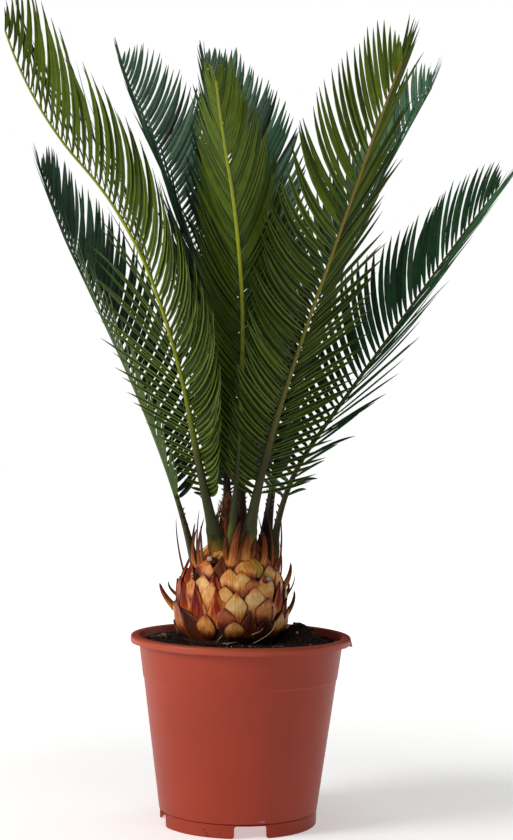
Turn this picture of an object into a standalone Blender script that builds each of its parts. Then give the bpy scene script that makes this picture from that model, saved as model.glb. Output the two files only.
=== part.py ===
# Sago palm in a round plastic nursery pot, about 70 cm tall.
# Metres and degrees. The origin is on the floor under the middle of the pot,
# +Z is up and the side seen in the photograph faces -Y.
# Every piece is a solid of its own: the pot, the soil, the scaly trunk, its woolly
# bud, and for each frond a rib and the two leaf blades on either side of it.

import bpy
import numpy as np
from mathutils.bvhtree import BVHTree

gap = 0.0003  # left between pieces that touch

# Pot
potSides = 44
wall = 0.0014
rimRadius = 0.095
rimTop = 0.1605
rimSkirt = 0.0060  # height of the turned-down lip
rimMouth = 0.0872  # radius of the lip's inner edge
lipEdge = 0.0012  # rounding of the lip's inner edge
floorCorner = 0.002
wallTopRadius = 0.0880  # outer wall just under the lip
wallFootRadius = 0.0680  # outer wall just above the foot
footHeight = 0.012
footRadius = 0.0668
footFlare = 0.0007
stepHeight = 0.124  # the faint line where the wall steps in
stepDepth = 0.0006
floorHeight = 0.0135
centreFootRadius = 0.011
notchCount = 4
notchWidth = 24.0
notchTurn = 9.0
drainHoles = 8
drainRadius = 0.0042
drainRing = 0.046

# Soil
soilSides = 36
soilTop = 0.1540
soilSeat = 0.1560  # flat place the trunk stands on
moundHeight = 0.0175
moundReach = 0.026
moundPlace = (0.050, -0.006)

# Trunk
trunkAxis = (-0.009, 0.0)
trunkFoot = soilSeat + gap
trunkBottomRadius = 0.0415
trunkBellyRadius = 0.0490
trunkBellyHeight = 0.0260  # above the foot
trunkHeight = 0.0875
trunkRows = 19
trunkSides = 48
scaleTurn = 137.508
scaleCount = 92
scaleRelief = 0.0020
scaleOverhang = 0.0022
smoothFrom = 0.64  # the crown is plain above this share, where the leaf stalks stand

# Dry pointed scales that stand out of the trunk: where each leaves the trunk (direction
# and height) and where its tip is (direction, distance from the trunk's axis, height).
spikes = [
    dict(start=(180, 0.185), tip=(180, 0.0620, 0.204), half=0.0040),
    dict(start=(176, 0.214), tip=(177, 0.0490, 0.260), half=0.0024),
    dict(start=(205, 0.226), tip=(203, 0.0310, 0.268), half=0.0024),
    dict(start=(222, 0.224), tip=(218, 0.0340, 0.255), half=0.0028),
    dict(start=(-90, 0.222), tip=(-74, 0.0375, 0.262), half=0.0040),
    dict(start=(-26, 0.230), tip=(-25, 0.0240, 0.264), half=0.0026),
    dict(start=(-24, 0.219), tip=(-22, 0.0315, 0.267), half=0.0024),
    dict(start=(-8, 0.215), tip=(-6, 0.0415, 0.265), half=0.0026),
    dict(start=(4, 0.204), tip=(4, 0.0510, 0.223), half=0.0040),
    dict(start=(-5, 0.182), tip=(-5, 0.0545, 0.200), half=0.0040),
    dict(start=(66, 0.218), tip=(64, 0.0380, 0.256), half=0.0026),
    dict(start=(98, 0.215), tip=(97, 0.0420, 0.250), half=0.0030),
    dict(start=(140, 0.216), tip=(142, 0.0420, 0.255), half=0.0028),
]

# Bud
budRadius = 0.0095
budHeight = 0.040
budTipRadius = 0.0035

# Ribs and blades
ribSides = 6
ribStations = 12
ribFootRadius = 0.0042
ribMidRadius = 0.0021
ribTipRadius = 0.0010
ribFlat = 0.85  # a rib's depth as a share of its width
ribRoot = 0.034  # how far a leaf stalk runs down into the crown before it is cut to it
bladeThickness = 0.0016
bladeStations = 12
bladeSteps = 3
bladeClear = 0.0012  # least distance kept between two blades
bladeLeast = 0.08  # a blade ends where it keeps less of its width than this

# One entry for each frond. lean is the rib's angle from upright at five even places,
# heading its compass direction at three, roll the turn of the blades about the rib.
# vee lifts the leaflets above the rib's plane, root and tip are the angles they make
# with the rib where they start and where they end, curl lifts their ends.
fronds = {
    "front_left": dict(
        foot=(-0.021, -0.018, 0.236), length=0.474, start=0.13, stalk=1.30,
        lean=(17, 24, 27, 53, 25), heading=(-111, -139, -134), roll=(19, -23, 12),
        vee=(-19, 27, 72), root=(58, 55, 37), tip=(63, 40, 6), curl=-17,
        leaf=0.111, footShare=0.17, tipShare=0.38, peak=0.35),
    "front_right": dict(
        foot=(0.004, -0.022, 0.240), length=0.445, start=0.13, stalk=1.05,
        lean=(11, 23, 31, 39, 54), heading=(-41, -57, -76), roll=(-33, 17, 14),
        vee=(-1, 17, 58), root=(54, 65, 19), tip=(39, 35, 14), curl=3,
        leaf=0.099, footShare=0.40, tipShare=0.40, peak=0.56),
    "front": dict(
        foot=(-0.009, -0.030, 0.251), length=0.441, start=0.14, stalk=0.80,
        lean=(13, 17, 34, 63, 58), heading=(-71, -97, -95), roll=(4, 3, -2),
        vee=(35, 40, 46), root=(58, 46, 13), tip=(39, 26, 9), curl=10,
        leaf=0.083, footShare=0.35, tipShare=0.42, peak=0.36),
    "right": dict(
        foot=(0.027, 0.006, 0.228), length=0.430, start=0.14, stalk=0.85,
        lean=(2, 38, 41, 42, 48), heading=(18, 34, 43), roll=(21, 17, 30),
        vee=(15, 39, 56), root=(80, 44, 25), tip=(64, 18, 12), curl=9,
        leaf=0.104, footShare=0.37, tipShare=0.42, peak=0.25),
    "left": dict(
        foot=(-0.042, -0.004, 0.226), length=0.417, start=0.13, stalk=0.80,
        lean=(16, 27, 36, 40, 31), heading=(156, 136, 124), roll=(0, -2, 6),
        vee=(22, 51, 54), root=(72, 42, 14), tip=(46, 26, 8), curl=10,
        leaf=0.100, footShare=0.35, tipShare=0.38, peak=0.41),
    "back_left": dict(
        foot=(-0.013, 0.018, 0.241), length=0.483, start=0.1, stalk=1.00,
        lean=(3, 11, 23, 38, 26), heading=(115, 132, 130), roll=(0, -12, 29),
        vee=(22, 48, 24), root=(72, 62, 27), tip=(46, 42, 10), curl=6,
        leaf=0.099, footShare=0.35, tipShare=0.42, peak=0.43),
    "back_right": dict(
        foot=(0.020, 0.018, 0.241), length=0.485, start=0.12, stalk=1.00,
        lean=(8, 18, 30, 36, 37), heading=(49, 43, 45), roll=(0, -5, -8),
        vee=(22, 31, 49), root=(72, 44, 27), tip=(46, 23, 13), curl=7,
        leaf=0.094, footShare=0.35, tipShare=0.52, peak=0.39),
    "back": dict(
        foot=(-0.002, 0.022, 0.245), length=0.488, start=0.1, stalk=1.00,
        lean=(3, 14, 20, 33, 36), heading=(87, 102, 114), roll=(-1, -1, 27),
        vee=(24, 43, 39), root=(72, 57, 26), tip=(44, 41, 11), curl=7,
        leaf=0.101, footShare=0.34, tipShare=0.42, peak=0.49),
}


def material(name, colour, roughness):
    made = bpy.data.materials.new(name)
    made.use_nodes = True
    shader = made.node_tree.nodes["Principled BSDF"]
    shader.inputs["Base Color"].default_value = (*colour, 1.0)
    shader.inputs["Roughness"].default_value = roughness
    shader.inputs["Metallic"].default_value = 0.0
    return made


def addMesh(name, points, faces, paint, smooth=True):
    mesh = bpy.data.meshes.new(name)
    mesh.from_pydata([tuple(p) for p in points], [], [[int(i) for i in f] for f in faces])
    if paint:
        mesh.materials.append(paint)
    if smooth:
        mesh.shade_smooth()
        mesh.set_sharp_from_angle(angle=np.radians(35))
    made = bpy.data.objects.new(name, mesh)
    bpy.context.scene.collection.objects.link(made)
    return made


def combine(target, guide, operation="DIFFERENCE"):
    """Cuts the guide's shape out of the target, or joins it on, and leaves the guide as a wire."""
    guide.hide_render = True
    guide.display_type = "WIRE"
    change = target.modifiers.new(guide.name, "BOOLEAN")
    change.operation = operation
    change.solver = "EXACT"
    change.object = guide


def gridFaces(rows, columns, closed=False):
    """Quads of a grid stored row by row; closed joins the last column to the first."""
    wide = columns if closed else columns - 1
    i, j = np.meshgrid(np.arange(rows - 1), np.arange(wide), indexing="ij")
    after = (j + 1) % columns
    here, above = i * columns, (i + 1) * columns
    return np.stack([here + j, here + after, above + after, above + j], -1).reshape(-1, 4).tolist()


def turned(name, profile, sides, paint):
    """A solid of revolution; the profile runs from the axis below, round the outside, to the axis above."""
    profile = np.array(profile)
    angle = np.arange(sides) * 2 * np.pi / sides
    ring = profile[1:-1]
    x = ring[:, :1] * np.cos(angle)
    y = ring[:, :1] * np.sin(angle)
    z = np.repeat(ring[:, 1:], sides, axis=1)
    points = np.stack([x, y, z], -1).reshape(-1, 3)
    faces = gridFaces(len(ring), sides, closed=True)
    low, high = len(points), len(points) + 1
    points = np.vstack([points, [0, 0, profile[0, 1]], [0, 0, profile[-1, 1]]])
    last = (len(ring) - 1) * sides
    for j in range(sides):
        after = (j + 1) % sides
        faces.append((low, after, j))
        faces.append((high, last + j, last + after))
    return addMesh(name, points, faces, paint)


# Pot

def outerRadius(z):
    """Radius of the pot's outer wall, which tapers evenly and steps in below the faint line."""
    share = (z - footHeight) / (rimTop - footHeight)
    radius = wallFootRadius + (wallTopRadius - wallFootRadius) * share
    return radius + (stepDepth if z > stepHeight else 0.0)


def potProfile():
    lipUnder = rimTop - wall
    step = 0.0004
    return [
        (0.0, 0.0),
        (centreFootRadius - 0.001, 0.0),
        (centreFootRadius, 0.001),
        (centreFootRadius, floorHeight),
        (footRadius - wall - 0.003, floorHeight),
        (footRadius - wall, floorHeight - 0.003),
        (footRadius + footFlare - wall, 0.0),
        (footRadius + footFlare - 0.0004, 0.0),
        (footRadius + footFlare, 0.0006),
        (footRadius, footHeight - step),
        (outerRadius(footHeight), footHeight + step),
        (outerRadius(stepHeight), stepHeight - step),
        (outerRadius(stepHeight + step), stepHeight + step),
        (outerRadius(lipUnder) - stepDepth, lipUnder),
        (rimRadius - wall, lipUnder),
        (rimRadius - wall, rimTop - rimSkirt),
        (rimRadius - 0.0003, rimTop - rimSkirt),
        (rimRadius, rimTop - rimSkirt + 0.0004),
        (rimRadius, rimTop - 0.0016),
        (rimRadius - 0.0014, rimTop),
        (rimMouth + lipEdge, rimTop),
        (rimMouth, rimTop - lipEdge),
        (outerRadius(stepHeight) - wall, stepHeight),
        (wallFootRadius - wall, floorHeight + wall + floorCorner),
        (wallFootRadius - wall - floorCorner, floorHeight + wall),
        (0.0, floorHeight + wall),
    ]


def buildPot(paint):
    pot = turned("pot", potProfile(), potSides, paint)
    for k in range(notchCount):
        combine(pot, notchCutter(k))
    for k in range(drainHoles):
        combine(pot, drainCutter(k))
    return pot


def notchCutter(k):
    """A wedge through the foot ring, as tall as the foot."""
    middle = np.radians(notchTurn + 90 * k)
    half = np.radians(notchWidth / 2)
    inner, outer = footRadius - 0.009, footRadius + 0.008
    points = []
    for z in (-0.005, footHeight - 0.0015):
        for radius, angle in ((inner, -half), (outer, -half), (outer, half), (inner, half)):
            points.append((radius * np.cos(middle + angle), radius * np.sin(middle + angle), z))
    faces = [(3, 2, 1, 0), (4, 5, 6, 7), (0, 1, 5, 4), (1, 2, 6, 5), (2, 3, 7, 6), (3, 0, 4, 7)]
    return addMesh("notch_guide_%d" % k, points, faces, None, smooth=False)


def drainCutter(k):
    angle = 2 * np.pi * (k + 0.5) / drainHoles
    low, high = floorHeight - 0.004, floorHeight + 0.006
    profile = [(0, low), (drainRadius, low), (drainRadius, high), (0, high)]
    cutter = turned("drain_guide_%d" % k, profile, 10, None)
    cutter.location = (drainRing * np.cos(angle), drainRing * np.sin(angle), 0)
    return cutter


# Soil

def soilHeight(x, y):
    """Height of the soil: level, a mound beside the trunk, and a flat seat under it."""
    fromTrunk = np.hypot(x - trunkAxis[0], y - trunkAxis[1])
    fromMound = np.hypot(x - moundPlace[0], y - moundPlace[1])
    rough = 0.0008 * np.sin(190 * x + 1) * np.cos(160 * y) + 0.0006 * np.sin(90 * (x + y))
    height = soilTop + rough + moundHeight * np.exp(-(fromMound / moundReach) ** 2 * 2.2)
    height = height + (soilSeat - soilTop) * np.exp(-(np.maximum(0, fromTrunk - 0.05) / 0.02) ** 2)
    seatEdge = trunkBottomRadius + 0.002
    blend = np.clip((fromTrunk - seatEdge) / 0.012, 0, 1)
    return np.where(fromTrunk < seatEdge, soilSeat, soilSeat + (height - soilSeat) * blend)


def soilEdge(z):
    """Radius of the pot's inner wall, less the gap."""
    low, high = floorHeight + wall, rimTop - lipEdge
    places = [low, low + floorCorner, stepHeight, high]
    foot = wallFootRadius - wall
    radius = [foot - floorCorner, foot, outerRadius(stepHeight) - wall, rimMouth]
    return np.interp(z, places, radius) - gap


def circle(radius, angle, z):
    return np.stack([radius * np.cos(angle), radius * np.sin(angle), np.full(len(angle), z)], -1)


def buildSoil(paint):
    sides = soilSides
    angle = np.arange(sides) * 2 * np.pi / sides
    low = floorHeight + wall + gap
    edgeZ = soilTop - 0.0006
    # the side, from the floor up
    sideZ = [low, low + 0.002, stepHeight, edgeZ]
    rings = [circle(soilEdge(z), angle, z) for z in sideZ]
    # the top, from the wall in to the trunk's seat
    seat = trunkBottomRadius + 0.0015
    for share in (0.15, 0.32, 0.5, 0.68, 0.85, 1.0):
        outX, outY = soilEdge(edgeZ) * np.cos(angle), soilEdge(edgeZ) * np.sin(angle)
        inX, inY = trunkAxis[0] + seat * np.cos(angle), trunkAxis[1] + seat * np.sin(angle)
        x, y = outX + (inX - outX) * share, outY + (inY - outY) * share
        rings.append(np.stack([x, y, soilHeight(x, y)], -1))
    points = np.concatenate(rings)
    faces = gridFaces(len(rings), sides, closed=True)
    last = (len(rings) - 1) * sides
    faces.append(tuple(range(sides - 1, -1, -1)))
    faces.append(tuple(last + j for j in range(sides)))
    return addMesh("soil", points, faces, paint)


# Trunk

def trunkProfile(u):
    """Radius and height of the trunk's side, u from 0 at the soil to 1 at the top of the crown."""
    places = [0, 0.10, 0.22, 0.36, 0.50, 0.62, 0.72, 0.82, 0.91, 1]
    radius = [trunkBottomRadius, 0.0452, trunkBellyRadius - 0.0005, trunkBellyRadius, 0.0470, 0.0432,
              0.0360, 0.0275, 0.0165, 0.0]
    height = [0, 0.060, 0.165, trunkBellyHeight / trunkHeight, 0.485, 0.635, 0.76, 0.86, 0.95, 1]
    return np.interp(u, places, radius), trunkFoot + trunkHeight * np.interp(u, places, height)


def trunkStations():
    return np.linspace(0, 0.985, trunkRows)


def scaleShape(angle, u):
    """Relief of the overlapping leaf bases, which are set round the trunk by the golden angle."""
    relief = np.full(np.shape(angle), -1.0)
    overhang = np.zeros(np.shape(angle))
    for k in range(scaleCount):
        place = (k + 0.5) / scaleCount * 0.92
        radius, _ = trunkProfile(place)
        side = (angle - np.radians(scaleTurn * k) + np.pi) % (2 * np.pi) - np.pi
        across = side * radius / 0.0105
        up = (u - place) * 0.125 / 0.0125
        near = 1 - (across ** 2 + up ** 2)
        better = near > relief
        relief = np.where(better, near, relief)
        overhang = np.where(better, np.clip(up, -1, 1), overhang)
    return scaleRelief * np.clip(relief, -0.6, 1) + scaleOverhang * overhang * np.clip(relief + 0.4, 0, 1)


def scaled(u):
    """1 where the trunk carries scales, falling to 0 at the soil and on the crown."""
    return np.clip(u / 0.06, 0, 1) * np.clip((smoothFrom + 0.08 - u) / 0.10, 0, 1)


def onTrunk(direction, radius, height):
    """A point given by its direction, its distance from the trunk's axis and its height."""
    angle = np.radians(direction)
    x = trunkAxis[0] + radius * np.cos(angle)
    y = trunkAxis[1] + radius * np.sin(angle)
    return np.array([x, y, height])


def trunkRadiusAt(height):
    radius, level = trunkProfile(np.linspace(0, 1, 101))
    return float(np.interp(height, level, radius))


def spikeMesh(spike):
    """A flat pointed scale, wide across the trunk, which starts inside it."""
    direction, height = spike["start"]
    start = onTrunk(direction, trunkRadiusAt(height) - 0.004, height - 0.004)
    tip = onTrunk(*spike["tip"])
    along = (tip - start) / np.linalg.norm(tip - start)
    across = np.cross(along, onTrunk(direction, 1.0, 0.0) - onTrunk(direction, 0.0, 0.0))
    across /= np.linalg.norm(across)
    out = np.cross(across, along)
    middle = start + (tip - start) * 0.45
    wide, thick = across * spike["half"], out * spike["half"] * 0.55
    ring = [start + wide, start + thick, start - wide, start - thick]
    ring += [p + (middle - start) - (p - start) * 0.25 for p in ring]
    points = ring + [tip]
    faces = [(3, 2, 1, 0)] + [(j, (j + 1) % 4, 4 + (j + 1) % 4, 4 + j) for j in range(4)]
    faces += [(4 + j, 4 + (j + 1) % 4, 8) for j in range(4)]
    return points, faces


def buildTrunk(paint):
    angle = np.arange(trunkSides) * 2 * np.pi / trunkSides
    aa, uu = np.meshgrid(angle, trunkStations())
    radius, height = trunkProfile(uu)
    radius = radius + scaleShape(aa, uu) * scaled(uu)
    x = trunkAxis[0] + radius * np.cos(aa)
    y = trunkAxis[1] + radius * np.sin(aa)
    points = np.stack([x, y, height], -1).reshape(-1, 3)
    faces = gridFaces(trunkRows, trunkSides, closed=True)
    faces.append(tuple(range(trunkSides - 1, -1, -1)))
    faces.append(tuple((trunkRows - 1) * trunkSides + j for j in range(trunkSides)))
    trunk = addMesh("trunk", points, faces, paint)
    for k, spike in enumerate(spikes):
        points, faces = spikeMesh(spike)
        guide = addMesh("spike_guide_%d" % k, points, faces, None, smooth=False)
        combine(trunk, guide, "UNION")
    return trunk


def crownCutter():
    """The trunk's outline grown by the gap, which trims whatever stands on the crown."""
    u = trunkStations()
    u = u[u > 0.25]
    radius, height = trunkProfile(u)
    slopeR, slopeZ = np.gradient(radius), np.gradient(height)
    size = np.hypot(slopeR, slopeZ)
    grow = gap + 0.0001 + scaled(u) * (scaleRelief + scaleOverhang * 0.5)
    outR = radius + slopeZ / size * grow
    outZ = height - slopeR / size * grow
    profile = [(0.0, float(outZ[0]))] + [(float(r), float(z)) for r, z in zip(outR, outZ)]
    profile += [(0.0, float(outZ[-1]))]
    cutter = turned("crown_guide", profile, trunkSides, None)
    cutter.location = (trunkAxis[0], trunkAxis[1], 0)
    return cutter


def buildBud(paint, cutter):
    top = trunkFoot + trunkHeight
    profile = [
        (0, top - 0.006), (budRadius, top - 0.006), (budRadius, top + 0.004),
        (budRadius * 0.85, top + budHeight * 0.5), (budTipRadius, top + budHeight - 0.002),
        (0, top + budHeight)]
    bud = turned("crown_bud", profile, 10, paint)
    bud.location = (trunkAxis[0], trunkAxis[1], 0)
    combine(bud, cutter)
    return bud


# Fronds

def along(share, values):
    """Values spaced evenly from the foot to the tip, read at each share of the length."""
    return np.interp(share, np.linspace(0, 1, len(values)), values)


def ribLine(frond, count=201):
    """Points, direction, side and upper-face direction along the rib."""
    share = np.linspace(0, 1, count)
    lean = np.radians(along(share, frond["lean"]))
    head = np.radians(along(share, frond["heading"]))
    ahead = np.stack([np.sin(lean) * np.cos(head), np.sin(lean) * np.sin(head), np.cos(lean)], -1)
    step = (ahead[1:] + ahead[:-1]) / 2 * frond["length"] / (count - 1)
    points = np.array(frond["foot"]) + np.vstack([[0, 0, 0], np.cumsum(step, 0)])
    side = np.stack([-np.sin(head), np.cos(head), 0 * head], -1)
    face = np.cross(ahead, side)
    roll = np.radians(along(share, frond["roll"]))[:, None]
    turnedSide = side * np.cos(roll) + face * np.sin(roll)
    turnedFace = face * np.cos(roll) - side * np.sin(roll)
    return points, ahead, turnedSide, turnedFace


def pick(values, share):
    """Values of a rib line read at any share of its length."""
    place = np.asarray(share) * (len(values) - 1)
    low = np.clip(np.floor(place).astype(int), 0, len(values) - 2)
    part = (place - low)[:, None]
    return values[low] * (1 - part) + values[low + 1] * part


def ribRadius(frond, share):
    """Thick at the crown, quickly slimmer up the bare stalk, then even to the tip."""
    stalk = ribFootRadius * frond["stalk"]
    radius = [stalk * 1.15, stalk, stalk * 0.78, ribMidRadius, ribTipRadius]
    return np.interp(share, [-0.06, 0.0, 0.12, 0.5, 1.0], radius)


def buildRib(name, frond, paint, cutter):
    """A tapering six-sided tube from inside the crown to the tip, cut to the crown's surface."""
    points, ahead, side, face = ribLine(frond)
    share = np.linspace(0, 1, ribStations) ** 1.15
    centre, side, face = pick(points, share), pick(side, share), pick(face, share)
    centre = np.vstack([centre[0] - ahead[0] * ribRoot, centre])
    side, face = np.vstack([side[:1], side]), np.vstack([face[:1], face])
    radius = ribRadius(frond, np.concatenate([[-0.06], share]))[:, None, None]
    angle = (np.arange(ribSides) * 2 * np.pi / ribSides)[None, :, None]
    across = -side[:, None] * np.cos(angle) + face[:, None] * np.sin(angle) * ribFlat
    rings = centre[:, None] + radius * across
    faces = gridFaces(len(centre), ribSides, closed=True)
    faces.append(tuple(range(ribSides - 1, -1, -1)))
    faces.append(tuple((len(centre) - 1) * ribSides + j for j in range(ribSides)))
    rib = addMesh(name, rings.reshape(-1, 3), faces, paint)
    combine(rib, cutter)
    return rib


def leafLength(frond, share):
    """Leaflets grow from the foot to the widest place, then shorten towards the tip."""
    foot, tip, peak = frond["footShare"], frond["tipShare"], frond["peak"]
    rise = foot + (1 - foot) * np.sin(np.clip(share / peak, 0, 1) * np.pi / 2)
    fall = tip + (1 - tip) * np.cos(np.clip((share - peak) / (1 - peak), 0, 1) * np.pi / 2) ** 0.75
    end = 1 - 0.6 * np.clip((share - 0.90) / 0.10, 0, 1) ** 2
    return frond["leaf"] * np.where(share < peak, rise, fall) * end


def bladeLines(frond, hand, reach):
    """Centre surface of one blade: a curved line outward from the rib at each station."""
    points, ahead, side, face = ribLine(frond)
    share = np.linspace(0, 1, bladeStations) ** 0.95
    place = frond["start"] + (1 - frond["start"]) * share
    base, ahead, side, face = (pick(v, place) for v in (points, ahead, side, face))
    root = np.radians(along(share, frond["root"]))[:, None]
    tip = np.radians(along(share, frond["tip"]))[:, None]
    vee = np.radians(along(share, frond["vee"]))[:, None]
    end = vee + np.radians(frond["curl"])
    length = leafLength(frond, share)[:, None]
    outRoot = hand * side * np.cos(vee) + face * np.sin(vee)
    outTip = hand * side * np.cos(end) + face * np.sin(end)
    first = np.cos(root) * ahead + np.sin(root) * outRoot
    last = np.cos(tip) * ahead + np.sin(tip) * outTip
    base = base + hand * side * (ribRadius(frond, place)[:, None] + gap + bladeThickness * 0.6)
    v = np.linspace(0, 1, bladeSteps + 1)[None, :, None] * reach[:, None, None]
    return base[:, None] + length[:, None] * (v * first[:, None] + v * v / 2 * (last - first)[:, None])


def bladeSolid(lines, thickness):
    """Points and faces of the closed sheet round a centre surface."""
    alongRib = np.gradient(lines, axis=0)
    across = np.gradient(lines, axis=1)
    normal = np.cross(alongRib, across)
    normal /= np.linalg.norm(normal, axis=-1, keepdims=True) + 1e-12
    rows, columns = lines.shape[:2]
    upper = (lines + normal * thickness / 2).reshape(-1, 3)
    lower = (lines - normal * thickness / 2).reshape(-1, 3)
    # both skins of a twisted quad fold along the same diagonal, so they stay apart
    top = [half for a, b, c, d in gridFaces(rows, columns) for half in ((a, b, c), (a, c, d))]
    count = rows * columns
    faces = [list(f[::-1]) for f in top] + [[i + count for i in f] for f in top]
    rim = list(range(columns))
    rim += [i * columns + columns - 1 for i in range(1, rows)]
    rim += [(rows - 1) * columns + j for j in range(columns - 2, -1, -1)]
    rim += [i * columns for i in range(rows - 2, 0, -1)]
    for a, b in zip(rim, rim[1:] + rim[:1]):
        faces.append([a, b, b + count, a + count])
    return np.vstack([upper, lower]), faces


def treeOf(points, faces):
    return BVHTree.FromPolygons([tuple(p) for p in points], [tuple(f) for f in faces])


def worldTree(made):
    """The finished surface of an object, for measuring what comes near it."""
    shape = made.evaluated_get(bpy.context.evaluated_depsgraph_get())
    mesh = shape.to_mesh()
    points = [made.matrix_world @ v.co for v in mesh.vertices]
    faces = [tuple(p.vertices) for p in mesh.polygons]
    tree = BVHTree.FromPolygons(points, faces)
    shape.to_mesh_clear()
    return tree


def stationsHit(lines, faces, tree, placed):
    """Stations of a blade whose faces meet anything already placed."""
    hit = set()
    rows, columns = lines.shape[:2]
    for other in placed:
        for index, _ in tree.overlap(other):
            for corner in faces[index]:
                hit.add((corner % (rows * columns)) // columns)
    return hit


def stationsFolded(lines, faces, tree):
    """Stations of a blade where it runs into itself: faces that meet and share no corner."""
    hit = set()
    rows, columns = lines.shape[:2]
    for one, other in tree.overlap(tree):
        if not set(faces[one]) & set(faces[other]):
            for corner in faces[one]:
                hit.add((corner % (rows * columns)) // columns)
    return hit


def clearReach(frond, hand, placed, sister):
    """Shortens a blade at the stations where it would meet another piece or itself, smoothly
    along the rib. The other blade of its own frond may come as near as the plain gap."""
    reach = np.ones(bladeStations)
    for _ in range(60):
        lines = bladeLines(frond, hand, reach)
        points, faces = bladeSolid(lines, bladeThickness + bladeClear)
        hit = stationsHit(lines, faces, treeOf(points, faces), placed)
        points, faces = bladeSolid(lines, bladeThickness + 2 * gap)
        tree = treeOf(points, faces)
        hit |= stationsHit(lines, faces, tree, sister)
        hit |= stationsFolded(lines, faces, tree)
        if not hit:
            break
        for i in hit:
            reach[i] *= 0.93
        for i in range(1, bladeStations):
            reach[i] = min(reach[i], reach[i - 1] + 0.30)
            reach[-1 - i] = min(reach[-1 - i], reach[-i] + 0.30)
    return reach


def keptRun(reach):
    """First and last station of the longest run of stations that kept some reach."""
    best, start = (0, 0), None
    for i, value in enumerate(list(reach) + [0.0]):
        if value >= bladeLeast and start is None:
            start = i
        if value < bladeLeast and start is not None:
            best = max(best, (i - start, start))
            start = None
    return best[1], best[1] + best[0]


def buildFronds(paints, cutter, placed):
    ribs = {}
    for name, frond in fronds.items():
        ribs[name] = buildRib("rib_" + name, frond, paints["rib"], cutter)
    bpy.context.view_layer.update()
    ribTrees = {name: worldTree(rib) for name, rib in ribs.items()}
    for name, frond in fronds.items():
        sister = []
        others = placed + [tree for rib, tree in ribTrees.items() if rib != name]
        for hand, word in ((1, "a"), (-1, "b")):
            reach = clearReach(frond, hand, others, sister)
            low, high = keptRun(reach)
            points, faces = bladeSolid(bladeLines(frond, hand, reach)[low:high], bladeThickness)
            blade = addMesh("leaves_%s_%s" % (name, word), points, faces, paints["leaf"])
            sister.append(treeOf(points, faces))
            print(name, word, "reach", " ".join("%.2f" % r for r in reach))
        placed = placed + sister


def main():
    for old in list(bpy.data.objects):
        bpy.data.objects.remove(old)
    paints = {
        "pot": material("pot_plastic", (0.36, 0.065, 0.038), 0.42),
        "soil": material("soil_peat", (0.012, 0.009, 0.007), 0.95),
        "trunk": material("leaf_base_scales", (0.48, 0.26, 0.10), 0.75),
        "bud": material("bud_wool", (0.055, 0.022, 0.012), 0.95),
        "rib": material("rib_green", (0.16, 0.19, 0.035), 0.5),
        "leaf": material("leaf_green", (0.035, 0.085, 0.020), 0.45),
    }
    pot = buildPot(paints["pot"])
    soil = buildSoil(paints["soil"])
    trunk = buildTrunk(paints["trunk"])
    cutter = crownCutter()
    bud = buildBud(paints["bud"], cutter)
    bpy.context.view_layer.update()
    buildFronds(paints, cutter, [worldTree(made) for made in (pot, soil, trunk, bud)])


main()
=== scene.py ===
# Sago palm in a moulded nursery pot: the looks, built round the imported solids.
# Metres and degrees, +Z up; the side seen in the photograph faces -Y.

import bpy
import numpy as np
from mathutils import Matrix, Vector


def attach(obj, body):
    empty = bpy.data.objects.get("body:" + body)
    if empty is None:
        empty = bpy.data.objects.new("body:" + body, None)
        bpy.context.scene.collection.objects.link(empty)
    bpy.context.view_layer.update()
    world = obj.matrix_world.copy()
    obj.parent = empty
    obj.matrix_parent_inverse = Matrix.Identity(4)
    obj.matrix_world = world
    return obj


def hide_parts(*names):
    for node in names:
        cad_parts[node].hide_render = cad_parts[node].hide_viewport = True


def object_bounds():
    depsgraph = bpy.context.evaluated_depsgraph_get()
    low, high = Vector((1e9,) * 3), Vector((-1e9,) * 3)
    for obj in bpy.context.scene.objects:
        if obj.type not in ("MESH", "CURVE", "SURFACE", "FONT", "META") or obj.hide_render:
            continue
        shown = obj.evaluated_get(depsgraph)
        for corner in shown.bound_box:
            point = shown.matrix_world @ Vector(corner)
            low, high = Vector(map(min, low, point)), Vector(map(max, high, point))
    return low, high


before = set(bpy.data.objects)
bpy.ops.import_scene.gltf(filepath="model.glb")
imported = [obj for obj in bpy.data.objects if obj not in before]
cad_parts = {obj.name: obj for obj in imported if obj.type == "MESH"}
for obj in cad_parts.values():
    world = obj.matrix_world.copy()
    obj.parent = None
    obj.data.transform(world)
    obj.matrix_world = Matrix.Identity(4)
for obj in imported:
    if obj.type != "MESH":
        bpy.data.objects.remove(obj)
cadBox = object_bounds()
print("frame loaded", [round(float(v), 4) for corner in cadBox for v in corner])

rng = np.random.default_rng(11)
goldenTurn = 137.508  # degrees from one leaf foot to the next


# sRGB hex to linear: c / 12.92 up to 0.04045, ((c + 0.055) / 1.055) ** 2.4 above it
def linear(hexText, factor=1.0):
    srgb = np.array([int(hexText[i:i + 2], 16) for i in (1, 3, 5)]) / 255
    light = np.where(srgb > 0.04045, ((srgb + 0.055) / 1.055) ** 2.4, srgb / 12.92)
    return (*(light * factor).tolist(), 1.0)


# gives a node's sockets, by name or in their order, a number, a vector, a hex colour or what
# feeds them: an output, or a node for its first output in use
def feed(made, inputs):
    for key, value in inputs.items() if isinstance(inputs, dict) else enumerate(inputs):
        if isinstance(value, bpy.types.Node):
            value = next(output for output in value.outputs if output.enabled)
        if isinstance(value, bpy.types.NodeSocket):
            made.id_data.links.new(value, made.inputs[key])
        else:
            made.inputs[key].default_value = linear(value) if isinstance(value, str) else value


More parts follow.
